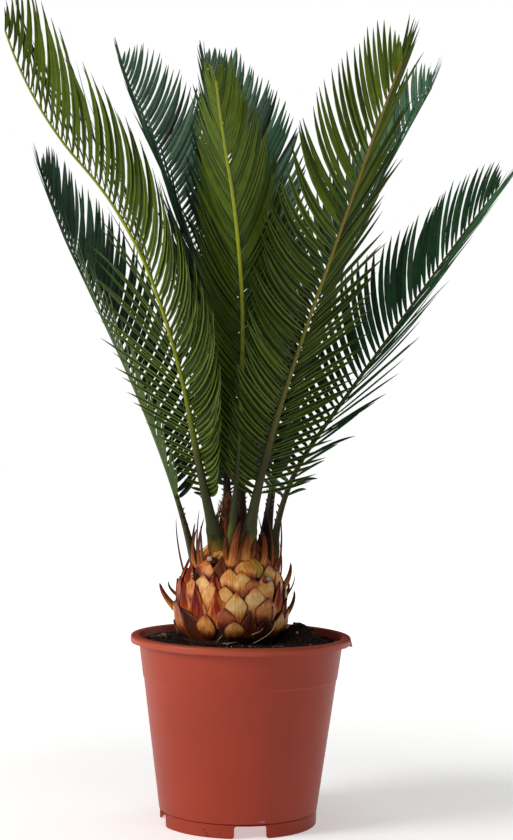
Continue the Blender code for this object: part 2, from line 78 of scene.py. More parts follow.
# adds a node with its inputs, its own settings, and the places and colours of a ramp
def node(tree, kind, inputs=(), stops=(), **settings):
    made = tree.nodes.new("ShaderNode" + kind)
    for key, value in settings.items():
        setattr(made, key, value)
    feed(made, inputs)
    if stops:
        ramp = made.color_ramp.elements
        while len(ramp) < len(stops):
            ramp.new(0.5)
        for element, (place, colour) in zip(ramp, stops):
            element.position = place
            element.color = linear(colour) if isinstance(colour, str) else colour
    return made


# a material with its Principled shader's own sockets set; returns it with its tree and shader
def newPaint(name, values):
    paint = bpy.data.materials.new(name)
    paint.use_nodes = True
    shader = paint.node_tree.nodes["Principled BSDF"]
    feed(shader, values)
    return paint, paint.node_tree, shader


def stacked(*values):
    return np.stack(np.broadcast_arrays(*values), -1)


# points at a radius, a direction in radians and a height, round an upright axis at x = middle
def around(radius, turn, height, middle=0.0):
    return stacked(middle + radius * np.cos(turn), radius * np.sin(turn), height)


def fullTurn(count):
    return np.arange(count) * 2 * np.pi / count


# random numbers on a cubic lattice, blended with t * t * (3 - 2 t) between its corners, -1 to 1
def softNoise(points, size, seed=0):
    place = points / size
    low = np.floor(place)
    between = place - low
    between = between * between * (3 - 2 * between)
    total = np.zeros(points.shape[:-1])
    for corner in np.ndindex(2, 2, 2):
        at = (low + corner) @ np.array([12.9898, 78.233, 37.719]) + seed * 7.31
        value = np.sin(at) * 43758.5453
        weight = np.prod(np.where(np.array(corner) == 1, between, 1 - between), axis=-1)
        total += (value - np.floor(value)) * weight
    return total * 2 - 1


def unit(vectors):
    return vectors / (np.linalg.norm(vectors, axis=-1, keepdims=True) + 1e-12)


# vectors less their share along ahead, made one long
def squared(vectors, ahead):
    return unit(vectors - np.sum(vectors * ahead, -1, keepdims=True) * ahead)


# quads of one rows x columns grid, stored row by row; closed joins the last column to the first
def gridQuads(rows, columns, closed=False):
    wide = columns if closed else columns - 1
    i, j = np.meshgrid(np.arange(rows - 1), np.arange(wide), indexing="ij")
    after = (j + 1) % columns
    quads = [i * columns + j, i * columns + after, (i + 1) * columns + after, (i + 1) * columns + j]
    return np.stack(quads, -1).reshape(-1, 4)


# the same faces again for each of count copies whose points follow one another
def repeated(faces, count, step):
    return (faces[None] + np.arange(count)[:, None, None] * step).reshape(-1, faces.shape[1])


# the quads and the two end caps of count tubes, each of stations rings
def tubeFaces(stations, sides, count=1):
    size = stations * sides
    ring = np.arange(sides)[None]
    kinds = (gridQuads(stations, sides, closed=True), ring[:, ::-1], ring + size - sides)
    return [repeated(faces, count, size) for faces in kinds]


# volume is the sum of a . (b x c) / 6 over the faces' corner fans; negative means inside out
def outward(points, groups):
    total = 0.0
    for faces in groups:
        for k in range(1, faces.shape[1] - 1):
            a, b, c = (points[faces[:, i]] for i in (0, k, k + 1))
            total += np.einsum("ij,ij->", a, np.cross(b, c))
    return groups if total > 0 else [faces[:, ::-1] for faces in groups]


# a part is a dict of points, faces (arrays of equal-sided faces), slot for each face, and
# per-point uv, tone, rim and rise; join puts parts into one
def part(points, groups, slots, uv=None, tone=0.5, rim=0.0, rise=0.5):
    points = points.reshape(-1, 3)
    count = len(points)
    made = dict(points=points, faces=outward(points, groups),
                slots=[np.broadcast_to(s, (len(f),)) for s, f in zip(slots, groups)],
                uv=np.zeros((count, 2)) if uv is None else uv.reshape(-1, 2))
    for key, values in dict(tone=tone, rim=rim, rise=rise).items():
        made[key] = np.broadcast_to(values, (count,))
    return made


def join(parts):
    shift = np.cumsum([0] + [len(p["points"]) for p in parts])
    joined = dict(faces=[f + s for p, s in zip(parts, shift) for f in p["faces"]],
                  slots=[s for p in parts for s in p["slots"]])
    for key in ("points", "uv", "tone", "rim", "rise"):
        joined[key] = np.concatenate([p[key] for p in parts])
    return joined


# links a new object that holds a mesh, a lamp or a camera into the scene
def setDown(name, held, spot=(0, 0, 0), angles=(0, 0, 0)):
    made = bpy.data.objects.new(name, held)
    made.location = spot
    made.rotation_euler = angles
    bpy.context.scene.collection.objects.link(made)
    return made


# puts a part into a mesh object, with its place in the mesh
def addPiece(name, shape, paints, sharp=40):
    mesh = bpy.data.meshes.new(name)
    corners = np.concatenate([f.ravel() for f in shape["faces"]]).astype(np.int32)
    sides = np.concatenate([np.full(len(f), f.shape[1]) for f in shape["faces"]])
    mesh.vertices.add(len(shape["points"]))
    mesh.vertices.foreach_set("co", shape["points"].astype(np.float32).ravel())
    mesh.loops.add(len(corners))
    mesh.loops.foreach_set("vertex_index", corners)
    mesh.polygons.add(len(sides))
    mesh.polygons.foreach_set("loop_start", (np.cumsum(sides) - sides).astype(np.int32))
    for paint in paints:
        mesh.materials.append(paint)
    mesh.polygons.foreach_set("material_index", np.concatenate(shape["slots"]).astype(np.int32))
    mesh.update(calc_edges=True)
    layer = mesh.uv_layers.new(name="pieceMap")
    layer.uv.foreach_set("vector", shape["uv"][corners].astype(np.float32).ravel())
    for key in ("tone", "rim", "rise"):
        held = mesh.attributes.new(key, "FLOAT", "POINT")
        held.data.foreach_set("value", shape[key].astype(np.float32))
    mesh.validate()
    mesh.shade_smooth()
    mesh.set_sharp_from_angle(angle=np.radians(sharp))
    return setDown(name, mesh)


def settle(piece, nodes):
    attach(piece, "root")
    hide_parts(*nodes)


# rings round many paths at once: centre + width cos(t) across + depth sin(t) out, where out is
# the given direction squared up to the path and across is path x out; both ends are closed
def sweep(paths, width, depth, out, sides, slot=0, capSlot=None, tone=0.5, rim=0.0, rise=0.5):
    count, stations = paths.shape[:2]
    ahead = unit(np.gradient(paths, axis=1))
    out = squared(np.broadcast_to(out[:, None] if out.ndim == 2 else out, paths.shape), ahead)
    across = np.cross(ahead, out)
    turn = fullTurn(sides)
    width, depth = (np.broadcast_to(v, (count, stations))[..., None, None] for v in (width, depth))
    rings = paths[:, :, None] + width * across[:, :, None] * np.cos(turn[:, None])
    rings = rings + depth * out[:, :, None] * np.sin(turn[:, None])
    length = np.cumsum(np.linalg.norm(np.diff(paths, axis=1, prepend=paths[:, :1]), axis=-1), 1)
    uv = stacked(turn * width[..., 0].max(1, keepdims=True), length[..., None])
    tone = np.repeat(np.broadcast_to(tone, (count,)), stations * sides)
    rim, rise = (np.repeat(np.broadcast_to(v, (count, stations)).ravel(), sides) for v in (rim, rise))
    slot = np.broadcast_to(slot, (count,))
    slots = [np.repeat(slot, (stations - 1) * sides), slot, slot if capSlot is None else capSlot]
    return part(rings, tubeFaces(stations, sides, count), slots, uv, tone, rim, rise)


# Camera and stage: the place and lens worked out from the ellipses of the pot's rim and foot

cameraPlace = dict(place=(0.0102, -1.4845, 0.346), lens=73.67, filmHeight=36.0, roll=1.0)
lamps = {
    "keyLeft": dict(place=(-2.2, -1.15, 1.35), size=1.2, power=50, aim=(0, 0, 0.34)),
    "fillRight": dict(place=(1.0, -2.3, 0.9), size=1.6, power=0.5, aim=(0, 0, 0.32)),
    "overhead": dict(place=(-0.2, -0.1, 2.2), size=1.2, power=12, aim=(0, 0, 0.3)),
    "behindRight": dict(place=(1.9, 1.2, 1.1), size=1.2, power=6, aim=(0, 0, 0.4)),
}
# glow: the distances from the pot between which the paper's own light grows, and both its strengths
stageLook = dict(halfSide=9.0, floor="#F4F3F1", ambient=0.055, backdrop=1.0, glow=(0.30, 1.7, 0.46, 1.0))


def buildStage():
    film = bpy.data.cameras.new("photoCamera")
    film.sensor_fit = "VERTICAL"
    film.sensor_height = cameraPlace["filmHeight"]
    film.lens = cameraPlace["lens"]
    film.clip_start, film.clip_end = 0.01, 50
    angles = (np.pi / 2, -np.radians(cameraPlace["roll"]), 0)
    bpy.context.scene.camera = setDown("photoCamera", film, cameraPlace["place"], angles)
    for name, lamp in lamps.items():
        light = bpy.data.lights.new(name, "AREA")
        light.shape, light.size, light.energy = "DISK", lamp["size"], lamp["power"]
        ahead = Vector(lamp["aim"]) - Vector(lamp["place"])
        setDown(name, light, lamp["place"], ahead.to_track_quat("-Z", "Y").to_euler())
    world = bpy.data.worlds.new("softRoom")
    bpy.context.scene.world = world
    world.use_nodes = True
    tree = world.node_tree
    seen = node(tree, "LightPath").outputs["Is Camera Ray"]
    strength = node(tree, "MapRange", (seen, 0, 1, stageLook["ambient"], stageLook["backdrop"]))
    feed(tree.nodes["Background"], {"Color": (1, 1, 1, 1), "Strength": strength})
    bpy.context.scene.view_settings.view_transform = "Standard"
    half = stageLook["halfSide"]
    mesh = bpy.data.meshes.new("studioFloor")
    mesh.from_pydata([(-half, -half, 0), (half, -half, 0), (half, half, 0), (-half, half, 0)],
                     [], [(0, 1, 2, 3)])
    floorPaint, tree, shader = newPaint("matteStudioPaper", {
        "Base Color": stageLook["floor"], "Roughness": 0.9, "Emission Color": (1, 1, 1, 1)})
    # the paper is lit from below like a light table, more so farther out, which hides its end
    away = node(tree, "VectorMath", (node(tree, "TexCoord").outputs["Object"],), operation="LENGTH")
    feed(shader, {"Emission Strength": node(tree, "MapRange", (away, *stageLook["glow"]))})
    mesh.materials.append(floorPaint)
    floor = setDown("studioFloor", mesh)
    print("camera, lamps and floor placed")


# Pot: injection-moulded polypropylene, a satin skin with faint flow marks and scuffs, whose
# white gloss shows at the edges; the lip is turned down and its lower edge is a little ragged.
# notches: direction and width in degrees. dents: pits near the foot, only painted as shade. pressed:
# direction and spread of the corner of the lip that was squashed outwards and down, on the right.

pot = dict(
    sides=192, wall=0.0014, rimRadius=0.095, rimTop=0.1605, rimSkirt=0.0060, rimMouth=0.0872,
    wallTopRadius=0.0880, wallFootRadius=0.0680, footHeight=0.012, footRadius=0.0668,
    footFlare=0.0007, stepHeight=0.124, stepDepth=0.0006, floorHeight=0.0135, centreFoot=0.011,
    notches=((9, 24), (99, 24), (191.5, 29), (279.7, 23.4)), notchTop=0.0105, notchRound=0.0024,
    drainHoles=8, drainRadius=0.0042, drainRing=0.046, ragged=0.0006,
    pressed=(-6, 22.0), pressedOut=0.0016, pressedIn=0.0010, pressedDown=0.0014,
    colour="#A63A22", wornAndHighlight="#B8583F", deep="#98341F", dentShade="#3A120A", mark="#C98A72",
    dentShadeSpots=((-0.0275, -0.0615, 0.0062), (-0.0240, -0.0630, 0.0016), (-0.0140, -0.0655, 0.0036),
           (-0.0132, -0.0655, 0.0066), (-0.0250, -0.0622, 0.0035)), mouldMark=(0.0203, -0.0655, 0.0142))


# radius of the outside: a straight cone from the foot to the lip, set out above the step line
def outerRadius(z):
    share = (z - pot["footHeight"]) / (pot["rimTop"] - pot["footHeight"])
    radius = pot["wallFootRadius"] + (pot["wallTopRadius"] - pot["wallFootRadius"]) * share
    return radius + np.where(z > pot["stepHeight"], pot["stepDepth"], 0.0)


# points (radius, height) from the middle of the underside, up the outside, over the lip and
# down the inside to the middle of the floor
def potProfile():
    wall, top, floor, centre = pot["wall"], pot["rimTop"], pot["floorHeight"], pot["centreFoot"]
    foot, flare, rim, mouth = pot["footRadius"], pot["footFlare"], pot["rimRadius"], pot["rimMouth"]
    skirt, step, ledge = top - pot["rimSkirt"], pot["stepHeight"], pot["footHeight"]
    lines = [(0.0, 0.0), (centre - 0.0012, 0.0), (centre - 0.0003, 0.0003), (centre, 0.001),
             (centre, floor - 0.001), (centre + 0.0008, floor)]
    lines += [(r, floor) for r in (0.020, 0.034, 0.050, foot - wall - 0.003)]
    lines += [(foot - wall, floor - 0.003), (foot + flare - wall, 0.0), (foot + flare - 0.0004, 0.0),
              (foot + flare, 0.0005), (foot + 0.0002, ledge - 0.0009), (foot - 0.0001, ledge - 0.0006),
              (foot - 0.0006, ledge - 0.0004), (foot - 0.0006, ledge)]
    heights = [ledge + 0.0002, ledge + 0.0012, 0.03, 0.05, 0.07, 0.09, 0.11, step - 0.0007, step - 0.0001,
               step + 0.0008, step + 0.0022, 0.134, 0.146, top - wall - 0.0008]
    lines += [(float(outerRadius(z)), z) for z in heights]
    inner = rim - wall
    lines += [(float(outerRadius(top - wall)) + 0.0009, top - wall), (inner - 0.0006, top - wall),
              (inner, top - wall - 0.0006), (inner, skirt + 0.0002), (inner + 0.0002, skirt),
              (rim - 0.0003, skirt), (rim, skirt + 0.0003), (rim - 0.0001, skirt + 0.0025),
              (rim, top - 0.0022), (rim - 0.0003, top - 0.0010), (rim - 0.0010, top - 0.0003),
              (rim - 0.0019, top), (rim - 0.0045, top - 0.0001), (mouth + 0.0012, top),
              (mouth + 0.0004, top - 0.0004), (mouth, top - 0.0013)]
    inner, floor = pot["wallFootRadius"] - wall, floor + wall
    lines += [(float(outerRadius(step + 0.001)) - wall, step), (inner, floor + 0.002),
              (inner - 0.0006, floor + 0.0006), (inner - 0.002, floor), (0.03, floor), (0.0, floor)]
    return np.array(lines)


# radius and height of the profile turned round Z; within a notch's angle the foot ring's lower
# points are lifted to the notch's top, and the skirt's lower edge wavers by a fraction of a mm
def buildPot():
    profile = potProfile()
    middles, widths = np.radians(np.array(pot["notches"], float)).T
    near = np.array([-36, -28, -20, -12, -6, -2.5, -0.6, 0.6, 2, 5, 9, 15, 22, 30]) * 0.001
    middles, halves = middles[:, None], widths[:, None] / 2
    edges = np.concatenate([middles - halves + near, middles + halves - near])
    turn = np.sort(np.concatenate([fullTurn(pot["sides"]), edges.ravel() % (2 * np.pi)]))
    radius, height = profile[1:-1, :1], profile[1:-1, 1:]
    off = np.abs((turn - middles + np.pi) % (2 * np.pi) - np.pi)
    inside = (halves - off).max(0)[None] * pot["footRadius"]
    bend = pot["notchRound"]
    corner = np.clip(bend - inside, 0, bend)
    roof = pot["notchTop"] - bend + np.sqrt(bend ** 2 - corner ** 2)
    ring = (radius > 0.05) & (radius < 0.072) & (height < pot["notchTop"])
    z = np.where((inside > 0) & ring, roof + height * 0.05, height)
    # the feet's lower corners beside a notch are rounded too
    reach = np.clip(bend + inside, 0, bend)
    lifted = bend - np.sqrt(bend ** 2 - reach ** 2)
    z = np.where((inside <= 0) & ring, height + lifted * np.clip(1 - height / 0.008, 0, 1), z)
    circle = around(1, turn, 0)
    waver = softNoise(circle, 0.11, 3) * 0.6 + softNoise(circle, 0.035, 5) * 0.4
    lip, upper = radius > 0.0925, height > 0.15
    skirt = lip & upper & (height < pot["rimTop"] - 0.0045)
    z = z + np.where(skirt, waver * pot["ragged"], 0)
    r = radius + np.where(skirt & (radius > 0.094), waver * 0.0001 - 0.0001, 0)
    direction, width = pot["pressed"]
    pressed = np.exp(-((np.degrees(turn) + 30) % 360 - 30 - direction) ** 2 / width)
    low = np.clip((0.1602 - height) / 0.0045, 0, 1)
    moved = pot["pressedOut"] * low - pot["pressedIn"] * (1 - low)
    r = r + np.where(lip, pressed * moved, 0)
    z = z - np.where((radius > 0.0915) & upper, pot["pressedDown"] * pressed, 0)
    points = around(r, turn, z)
    rows, columns = points.shape[:2]
    j, count = np.arange(columns), rows * columns
    last = (rows - 1) * columns
    under = stacked(count, (j + 1) % columns, j)
    over = stacked(count + 1, last + j, last + (j + 1) % columns)
    middle = [[0, 0, profile[0, 1]], [0, 0, profile[-1, 1]]]
    faces = [gridQuads(rows, columns, closed=True), under, over]
    shape = part(np.vstack([points.reshape(-1, 3), middle]), faces, [0, 0, 0])
    made = addPiece("nurseryPot", shape, [potPaint()], sharp=38)
    angle = fullTurn(pot["drainHoles"]) + np.pi / pot["drainHoles"]
    height = pot["floorHeight"] + np.array([-0.004, 0.006])
    holes = around(pot["drainRing"], angle[:, None], height)
    cutter = sweep(holes, pot["drainRadius"], pot["drainRadius"], np.array([1.0, 0, 0]), 24)
    cutter = addPiece("drainCutter", cutter, [])
    cut = made.modifiers.new("drainHoles", "BOOLEAN")
    cut.operation, cut.solver, cut.object = "DIFFERENCE", "EXACT", cutter
    finished = bpy.data.meshes.new_from_object(made.evaluated_get(bpy.context.evaluated_depsgraph_get()))
    made.modifiers.clear()
    made.data = finished
    finished.name = "nurseryPot"
    bpy.data.objects.remove(cutter)
    settle(made, ["pot"])
    print("pot turned:", len(finished.polygons), "faces")


# terracotta-coloured polypropylene: satin, in broad flow marks of 90 mm with fine scuffs of
# 1 mm rubbed paler, and a painted highlight that makes the top of the lip paler
def potPaint():
    paint, tree, shader = newPaint("mouldedPolypropylene", {"IOR": 1.49, "Specular IOR Level": 0.27})
    place = node(tree, "TexCoord").outputs["Object"]
    broad = node(tree, "TexNoise", {"Vector": place, "Scale": 11.0, "Detail": 2.0})
    stretched = node(tree, "Mapping", {"Vector": place, "Scale": (1.0, 1.0, 0.30)})
    scuffs = node(tree, "TexNoise", {"Vector": stretched, "Scale": 700.0, "Detail": 4.0, "Roughness": 0.7})
    base = node(tree, "ValToRGB", (broad,), [(0.30, pot["deep"]), (0.70, pot["colour"])])
    height = node(tree, "SeparateXYZ", (place,)).outputs["Z"]
    rubbed = node(tree, "MapRange", (scuffs, 0.58, 0.82, 0.0, 0.30))
    # painted highlight: the top band of the lip is mixed towards the paler colour
    lip = node(tree, "MapRange", (height, 0.1535, 0.1560, 0.0, 0.42))
    last = base
    for share in (rubbed, lip):
        last = node(tree, "Mix", {0: share, 6: last, 7: pot["wornAndHighlight"]}, data_type="RGBA")
    # painted shade: dark in a dent under 1 mm wide, which the shape doesn't have, and light along the
    # mould mark of 5 mm, both uneven where the scuffs lengthen or shorten the distance to them
    flaws = [(d, (1, 1, 1), pot["dentShade"], 0.0007, 0.0012) for d in pot["dentShadeSpots"]]
    flaws.append((pot["mouldMark"], (0.25, 0.25, 1.4), pot["mark"], 0.0006, 0.0009))
    for spot, stretch, tint, inner, outer in flaws:
        apart = node(tree, "VectorMath", (place, spot), operation="SUBTRACT")
        scaled = node(tree, "VectorMath", (apart, stretch), operation="MULTIPLY")
        length = node(tree, "VectorMath", (scaled,), operation="LENGTH")
        uneven = node(tree, "Math", (scuffs, -0.0030, length), operation="MULTIPLY_ADD")
        share = node(tree, "MapRange", (uneven, inner - 0.0016, outer - 0.0016, 0.75, 0.0))
        last = node(tree, "Mix", {0: share, 6: last, 7: tint}, data_type="RGBA")
    feed(shader, {
        "Base Color": last, "Roughness": node(tree, "MapRange", (scuffs, 0, 1, 0.34, 0.52)),
        "Normal": node(tree, "Bump", {"Strength": 0.12, "Distance": 0.0003, "Height": scuffs})})
    return paint


# Soil: moist peat compost, nearly black, crumbs and a few pale dry fibres on it

soil = dict(top=0.1540, seat=0.1560, mound=0.0165, moundReach=0.026, moundPlace=(0.050, -0.006),
            rings=46, sides=160, crumbs=2600, fibres=26, seatRadius=0.0415, spread=0.084, gap=0.0003)
trunkX = -0.009  # the trunk stands to the left of the pot's axis


# level + roughness of 12, 4 and 1.5 mm + mound exp(-2.2 d^2 / reach^2), raised to the seat at
# the trunk
def soilHeight(x, y):
    points = stacked(x, y, 0)
    rough = 0.0011 * softNoise(points, 0.012, 1) + 0.0007 * softNoise(points, 0.004, 2)
    rough = rough + 0.0004 * softNoise(points, 0.0015, 4)
    away = np.hypot(x - soil["moundPlace"][0], y - soil["moundPlace"][1]) / soil["moundReach"]
    height = soil["top"] + soil["mound"] * np.exp(-2.2 * away ** 2)
    near = np.maximum(0, np.hypot(x - trunkX, y) - 0.05) / 0.02
    return height + rough + (soil["seat"] - soil["top"]) * np.exp(-near ** 2)


# the inside of the pot at a height, less the gap
def soilEdge(z):
    floor = pot["floorHeight"] + pot["wall"]
    foot = pot["wallFootRadius"] - pot["wall"]
    top = float(outerRadius(pot["stepHeight"] + 0.001)) - pot["wall"]
    inside = np.interp(z, [floor, floor + 0.002, pot["stepHeight"], 0.159],
                       [foot - 0.002, foot, top, pot["rimMouth"]])
    return inside - soil["gap"]


def buildSoil():
    turn = fullTurn(soil["sides"])
    floor = pot["floorHeight"] + pot["wall"] + soil["gap"]
    rings = [around(soilEdge(z), turn, z) for z in (floor, floor + 0.002, 0.06, pot["stepHeight"], 0.150)]
    # the rings on top run from the pot's wall in to 4 mm from the trunk's axis
    for share in np.linspace(0, 1, soil["rings"]) ** 0.9:
        ring = around(soilEdge(soil["top"]) * (1 - share) + 0.004 * share, turn, 0, trunkX * share)
        ring[:, 2] = soilHeight(ring[:, 0], ring[:, 1])
        rings.append(ring)
    faces = tubeFaces(len(rings), soil["sides"])
    made = addPiece("peatSoil", part(np.array(rings), faces, [0, 0, 0]),
                    [grainPaint("moistPeat", "#120C09", "#2A1B12", peat)], sharp=180)
    settle(made, ["soil"])
    print("soil bed:", len(faces[0]), "faces")
    buildCrumbs()


# lumps: each an eight-faced ball with every corner pushed in or out at random
def buildCrumbs():
    count = soil["crumbs"]
    ball = np.array([(1, 0, 0), (-1, 0, 0), (0, 1, 0), (0, -1, 0), (0, 0, 1), (0, 0, -1)], float)
    faces = np.array([(0, 2, 4), (2, 1, 4), (1, 3, 4), (3, 0, 4), (2, 0, 5), (1, 2, 5), (3, 1, 5), (0, 3, 5)])
    radius = soil["spread"] * np.sqrt(rng.uniform(0, 1, count))
    turn = rng.uniform(0, 2 * np.pi, count)
    x, y = radius * np.cos(turn), radius * np.sin(turn)
    size = 0.0005 + 0.0022 * rng.beta(1.3, 6.0, count)
    keep = np.hypot(x - trunkX, y) > soil["seatRadius"] - 0.001
    x, y, size = x[keep], y[keep], size[keep]
    count = len(x)
    lumps = ball * size[:, None, None] * rng.uniform(0.55, 1.25, (count, 6, 3))
    points = stacked(x, y, soilHeight(x, y) + size * 0.25)[:, None] + lumps
    shade = rng.choice(4, count, p=[0.52, 0.30, 0.15, 0.03])
    crumbs = part(points, [repeated(faces, count, 6)], [np.repeat(shade, 8)])
    # thin dry fibres lying on the soil: short arcs that rise a little in the middle
    fibres = soil["fibres"]
    radius = rng.uniform(0.052, 0.078, fibres)
    start = around(radius, rng.uniform(0, 2 * np.pi, fibres), 0, trunkX)[:, :2]
    heading = rng.uniform(0, 2 * np.pi, fibres)
    length = rng.uniform(0.008, 0.022, fibres)
    bend = rng.uniform(-0.9, 0.9, fibres)
    share = np.linspace(0, 1, 9)
    angle = heading[:, None] + bend[:, None] * (share - 0.5) * 2
    step = stacked(np.cos(angle), np.sin(angle)) * (length / 8)[:, None, None]
    flat = start[:, None] + np.cumsum(step, 1)
    inside = np.hypot(flat[..., 0], flat[..., 1]).max(1) < soil["spread"]
    clear = np.hypot(flat[..., 0] - trunkX, flat[..., 1]).min(1) > 0.044
    x, y = np.moveaxis(flat[inside & clear], -1, 0)
    paths = stacked(x, y, soilHeight(x, y) + 0.0004 + 0.0012 * np.sin(share * np.pi))
    thick = 0.00022 * (1 - 0.5 * share)
    strands = sweep(paths, thick, thick, np.array([0, 0, 1.0]), 5, slot=3)
    roots = np.array([rootArc(*root) for root in rootArcs])
    roots = sweep(roots, 0.00028, 0.00028, np.array([0.3, -0.8, 0.5]), 5, slot=3)
    paints = [grainPaint("peatCrumbBlack", "#0E0907", "#1E140E", peat),
              grainPaint("peatCrumbBrown", "#23160F", "#38261A", peat),
              grainPaint("barkCrumb", "#3B2618", "#5A3C26", peat),
              grainPaint("dryFibre", "#A8947A", "#D2C2A8", peat)]
    made = addPiece("peatCrumbs", join([crumbs, strands, roots]), paints, sharp=30)
    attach(made, "root")
    print("crumbs and fibres:", count, len(paths))


# roots on the trunk's foot: direction and height where each starts and ends, and its bow
rootArcs = [(-65, 0.1585, -44, 0.1765, 0.006), (-104, 0.1585, -97, 0.166, 0.003),
            (-97, 0.1585, -83, 0.1600, 0.002), (-69, 0.1665, -58, 0.1715, 0.003),
            (30, 0.1590, 38, 0.170, 0.003), (140, 0.1590, 131, 0.168, 0.003)]


def rootArc(startTurn, startHeight, endTurn, endHeight, bow):
    share = np.linspace(0, 1, 12)
    turn = np.radians(startTurn + (endTurn - startTurn) * share)
    height = startHeight + (endHeight - startHeight) * share
    return around(bulbRadiusAt(height) + 0.0035 + bow * np.sin(share * np.pi), turn, height, trunkX)


# peat in grains of 1.5 mm with a few pale ones, and tangled fibre in upright strands of 1.2 mm:
# both dull, since their rough surface scatters the light
peat = dict(rough=0.95, shine=0.25, stretch=1.0, scale=650.0, detail=5.0, fray=0.75, dark=0.42, pale=1.8,
            relief=0.0006)
fibre = dict(rough=0.85, shine=0.3, stretch=0.25, scale=800.0, detail=4.0, fray=0.7, dark=0.38, pale=1.0,
             relief=0.0005)


def grainPaint(name, dark, light, look):
    paint, tree, shader = newPaint(name, {"Roughness": look["rough"], "Specular IOR Level": look["shine"]})
    narrow = node(tree, "Mapping", {
        "Vector": node(tree, "TexCoord").outputs["Object"], "Scale": (1, 1, look["stretch"])})
    grain = node(tree, "TexNoise", {
        "Vector": narrow, "Scale": look["scale"], "Detail": look["detail"], "Roughness": look["fray"]})
    colour = node(tree, "ValToRGB", (grain,), [
        (look["dark"], dark), (0.66, light), (0.82, linear(light, look["pale"]))])
    bump = node(tree, "Bump", {"Strength": 0.7, "Distance": look["relief"], "Height": grain})
    feed(shader, {"Base Color": colour, "Normal": bump})
    return paint


# Trunk: the short thick stem of a young cycad, clad in the dry feet of old leaves. Each foot is
# a tan, waxy, finely streaked tile with a red-brown papery edge, and pointed red-brown scales
# stand between them.

trunk = dict(foot=0.1563, height=0.0875, spread=92, core=0.0020, coreRows=60, coreSides=120, tileRows=14,
             tileColumns=13, widen=(1.20, 1.08), tuck=(1.50, 1.10), thick=0.0008, crownScales=30,
             sunk=0.0026, bulge=0.0007, flare=0.0016, ridge=0.0007, dip=0.0005)

# the bulb's side: ten shares of its length from the foot up, with the radius and the height there
bulbShares = [0, .10, .22, .36, .50, .62, .72, .82, .91, 1]
bulbRadii = [.0415, .0452, .0485, .049, .0470, .0432, .0360, .0275, .0165, 0]
bulbHeights = [0, .060, .165, .297, .485, .635, .76, .86, .95, 1]

# the trunk's materials; a tile's kind is one of 1 to 4
coreSlot, tanSlot, redSlot, darkSlot, greenSlot, drySlot, cutSlot = range(7)

# the tiles seen in the photograph: direction, height, half width and half height in mm, turn
# (leaning right), how far the top stands out in mm, kind, and tone from pale 0 to orange 1
seenTiles = [
    (-123, .2055, 9.5, 10.5, 5, 1.4, 1, .30), (-84, .1905, 8.6, 11.5, 0, 2.0, 1, .15),
    (-64, .1945, 8.8, 11.5, 4, 1.6, 1, .10), (-49, .2045, 9.5, 11.0, -4, 1.4, 1, .30),
    (-92, .2125, 7.0, 10.0, 0, 1.2, 1, .45), (-77, .2100, 8.2, 9.5, 0, 0.9, 1, .25),
    (-65, .2065, 6.8, 5.5, 0, 2.2, 1, .80), (-96, .1980, 7.2, 9.5, 0, 1.0, 1, .30),
    (-112, .1985, 7.5, 12.5, 8, 1.2, 1, .42), (-127, .1900, 10.5, 17.5, -6, 2.4, 2, .45),
    (-104, .1890, 8.2, 17.0, -3, 2.8, 2, .85), (-115, .1725, 8.2, 10.5, 4, 2.0, 1, .55),
    (-95, .1800, 8.4, 8.5, 0, 1.6, 1, .95), (-86, .1700, 7.4, 8.0, 0, 1.8, 1, .40),
    (-71, .1752, 8.5, 12.0, 0, 1.8, 3, .50), (-50, .1860, 9.8, 10.5, 8, 1.8, 1, .60),
    (-52, .1700, 12.5, 11.0, -8, 2.2, 3, .25), (-30, .1740, 9.0, 9.5, 0, 1.8, 1, .25),
    (-30, .1965, 7.4, 12.5, 0, 2.2, 2, .55), (-18, .1830, 8.5, 11.5, 0, 1.8, 2, .30),
    (-18, .2090, 9.0, 10.5, 0, 1.2, 1, .35), (-158, .1760, 8.5, 16.0, -12, 2.4, 1, .85),
    (-133, .1720, 14.0, 16.0, -30, 3.2, 3, .55), (-147, .1950, 8.2, 13.5, -6, 1.8, 2, .45),
    (-133, .2235, 8.5, 7.5, 14, 1.4, 1, .75), (-121, .2190, 6.5, 6.5, 10, 1.4, 1, .60),
    (-105, .2210, 8.0, 10.5, 0, 1.6, 3, .90), (-93, .2275, 6.8, 7.5, 0, 1.4, 1, .55),
    (-70, .2205, 8.6, 10.0, 0, 1.4, 1, .50), (-55, .2245, 7.6, 12.0, -5, 3.4, 4, .30),
    (-28, .2235, 7.4, 9.5, 0, 1.6, 1, .85), (-34, .2160, 8.2, 8.0, 0, 1.4, 1, .40),
    (-43, .2290, 6.6, 9.5, 6, 1.6, 2, .20), (-152, .2150, 8.0, 10.5, -8, 1.4, 2, .35),
    (-82, .2310, 5.8, 10.0, -4, 1.8, 2, .40), (-118, .2330, 6.4, 7.5, 0, 1.2, 1, .30),
    (-143, .2330, 6.0, 8.0, 0, 1.4, 1, .70), (-108, .2375, 5.6, 7.5, 4, 1.2, 1, .45),
    (-90, .2365, 6.0, 7.5, -4, 1.2, 1, .30), (-70, .2370, 5.8, 8.0, 0, 1.4, 1, .55),
    (-52, .2370, 5.2, 8.5, 4, 1.4, 2, .20), (-126, .2375, 5.4, 8.0, 0, 1.4, 2, .30),
    (-98, .2410, 4.6, 7.0, 0, 1.2, 2, .15), (-80, .2415, 4.8, 7.0, 0, 1.2, 1, .80),
    (-60, .2410, 4.4, 7.0, 0, 1.2, 1, .70), (-109, .2085, 6.5, 9.5, 0, 0.6, 2, .30),
    (-138, .2020, 7.5, 10.0, 0, 0.6, 1, .60), (-100, .1880, 6.0, 9.0, 0, 0.4, 1, .70),
    (-44, .1800, 7.0, 9.0, 0, 0.5, 3, .60),
]

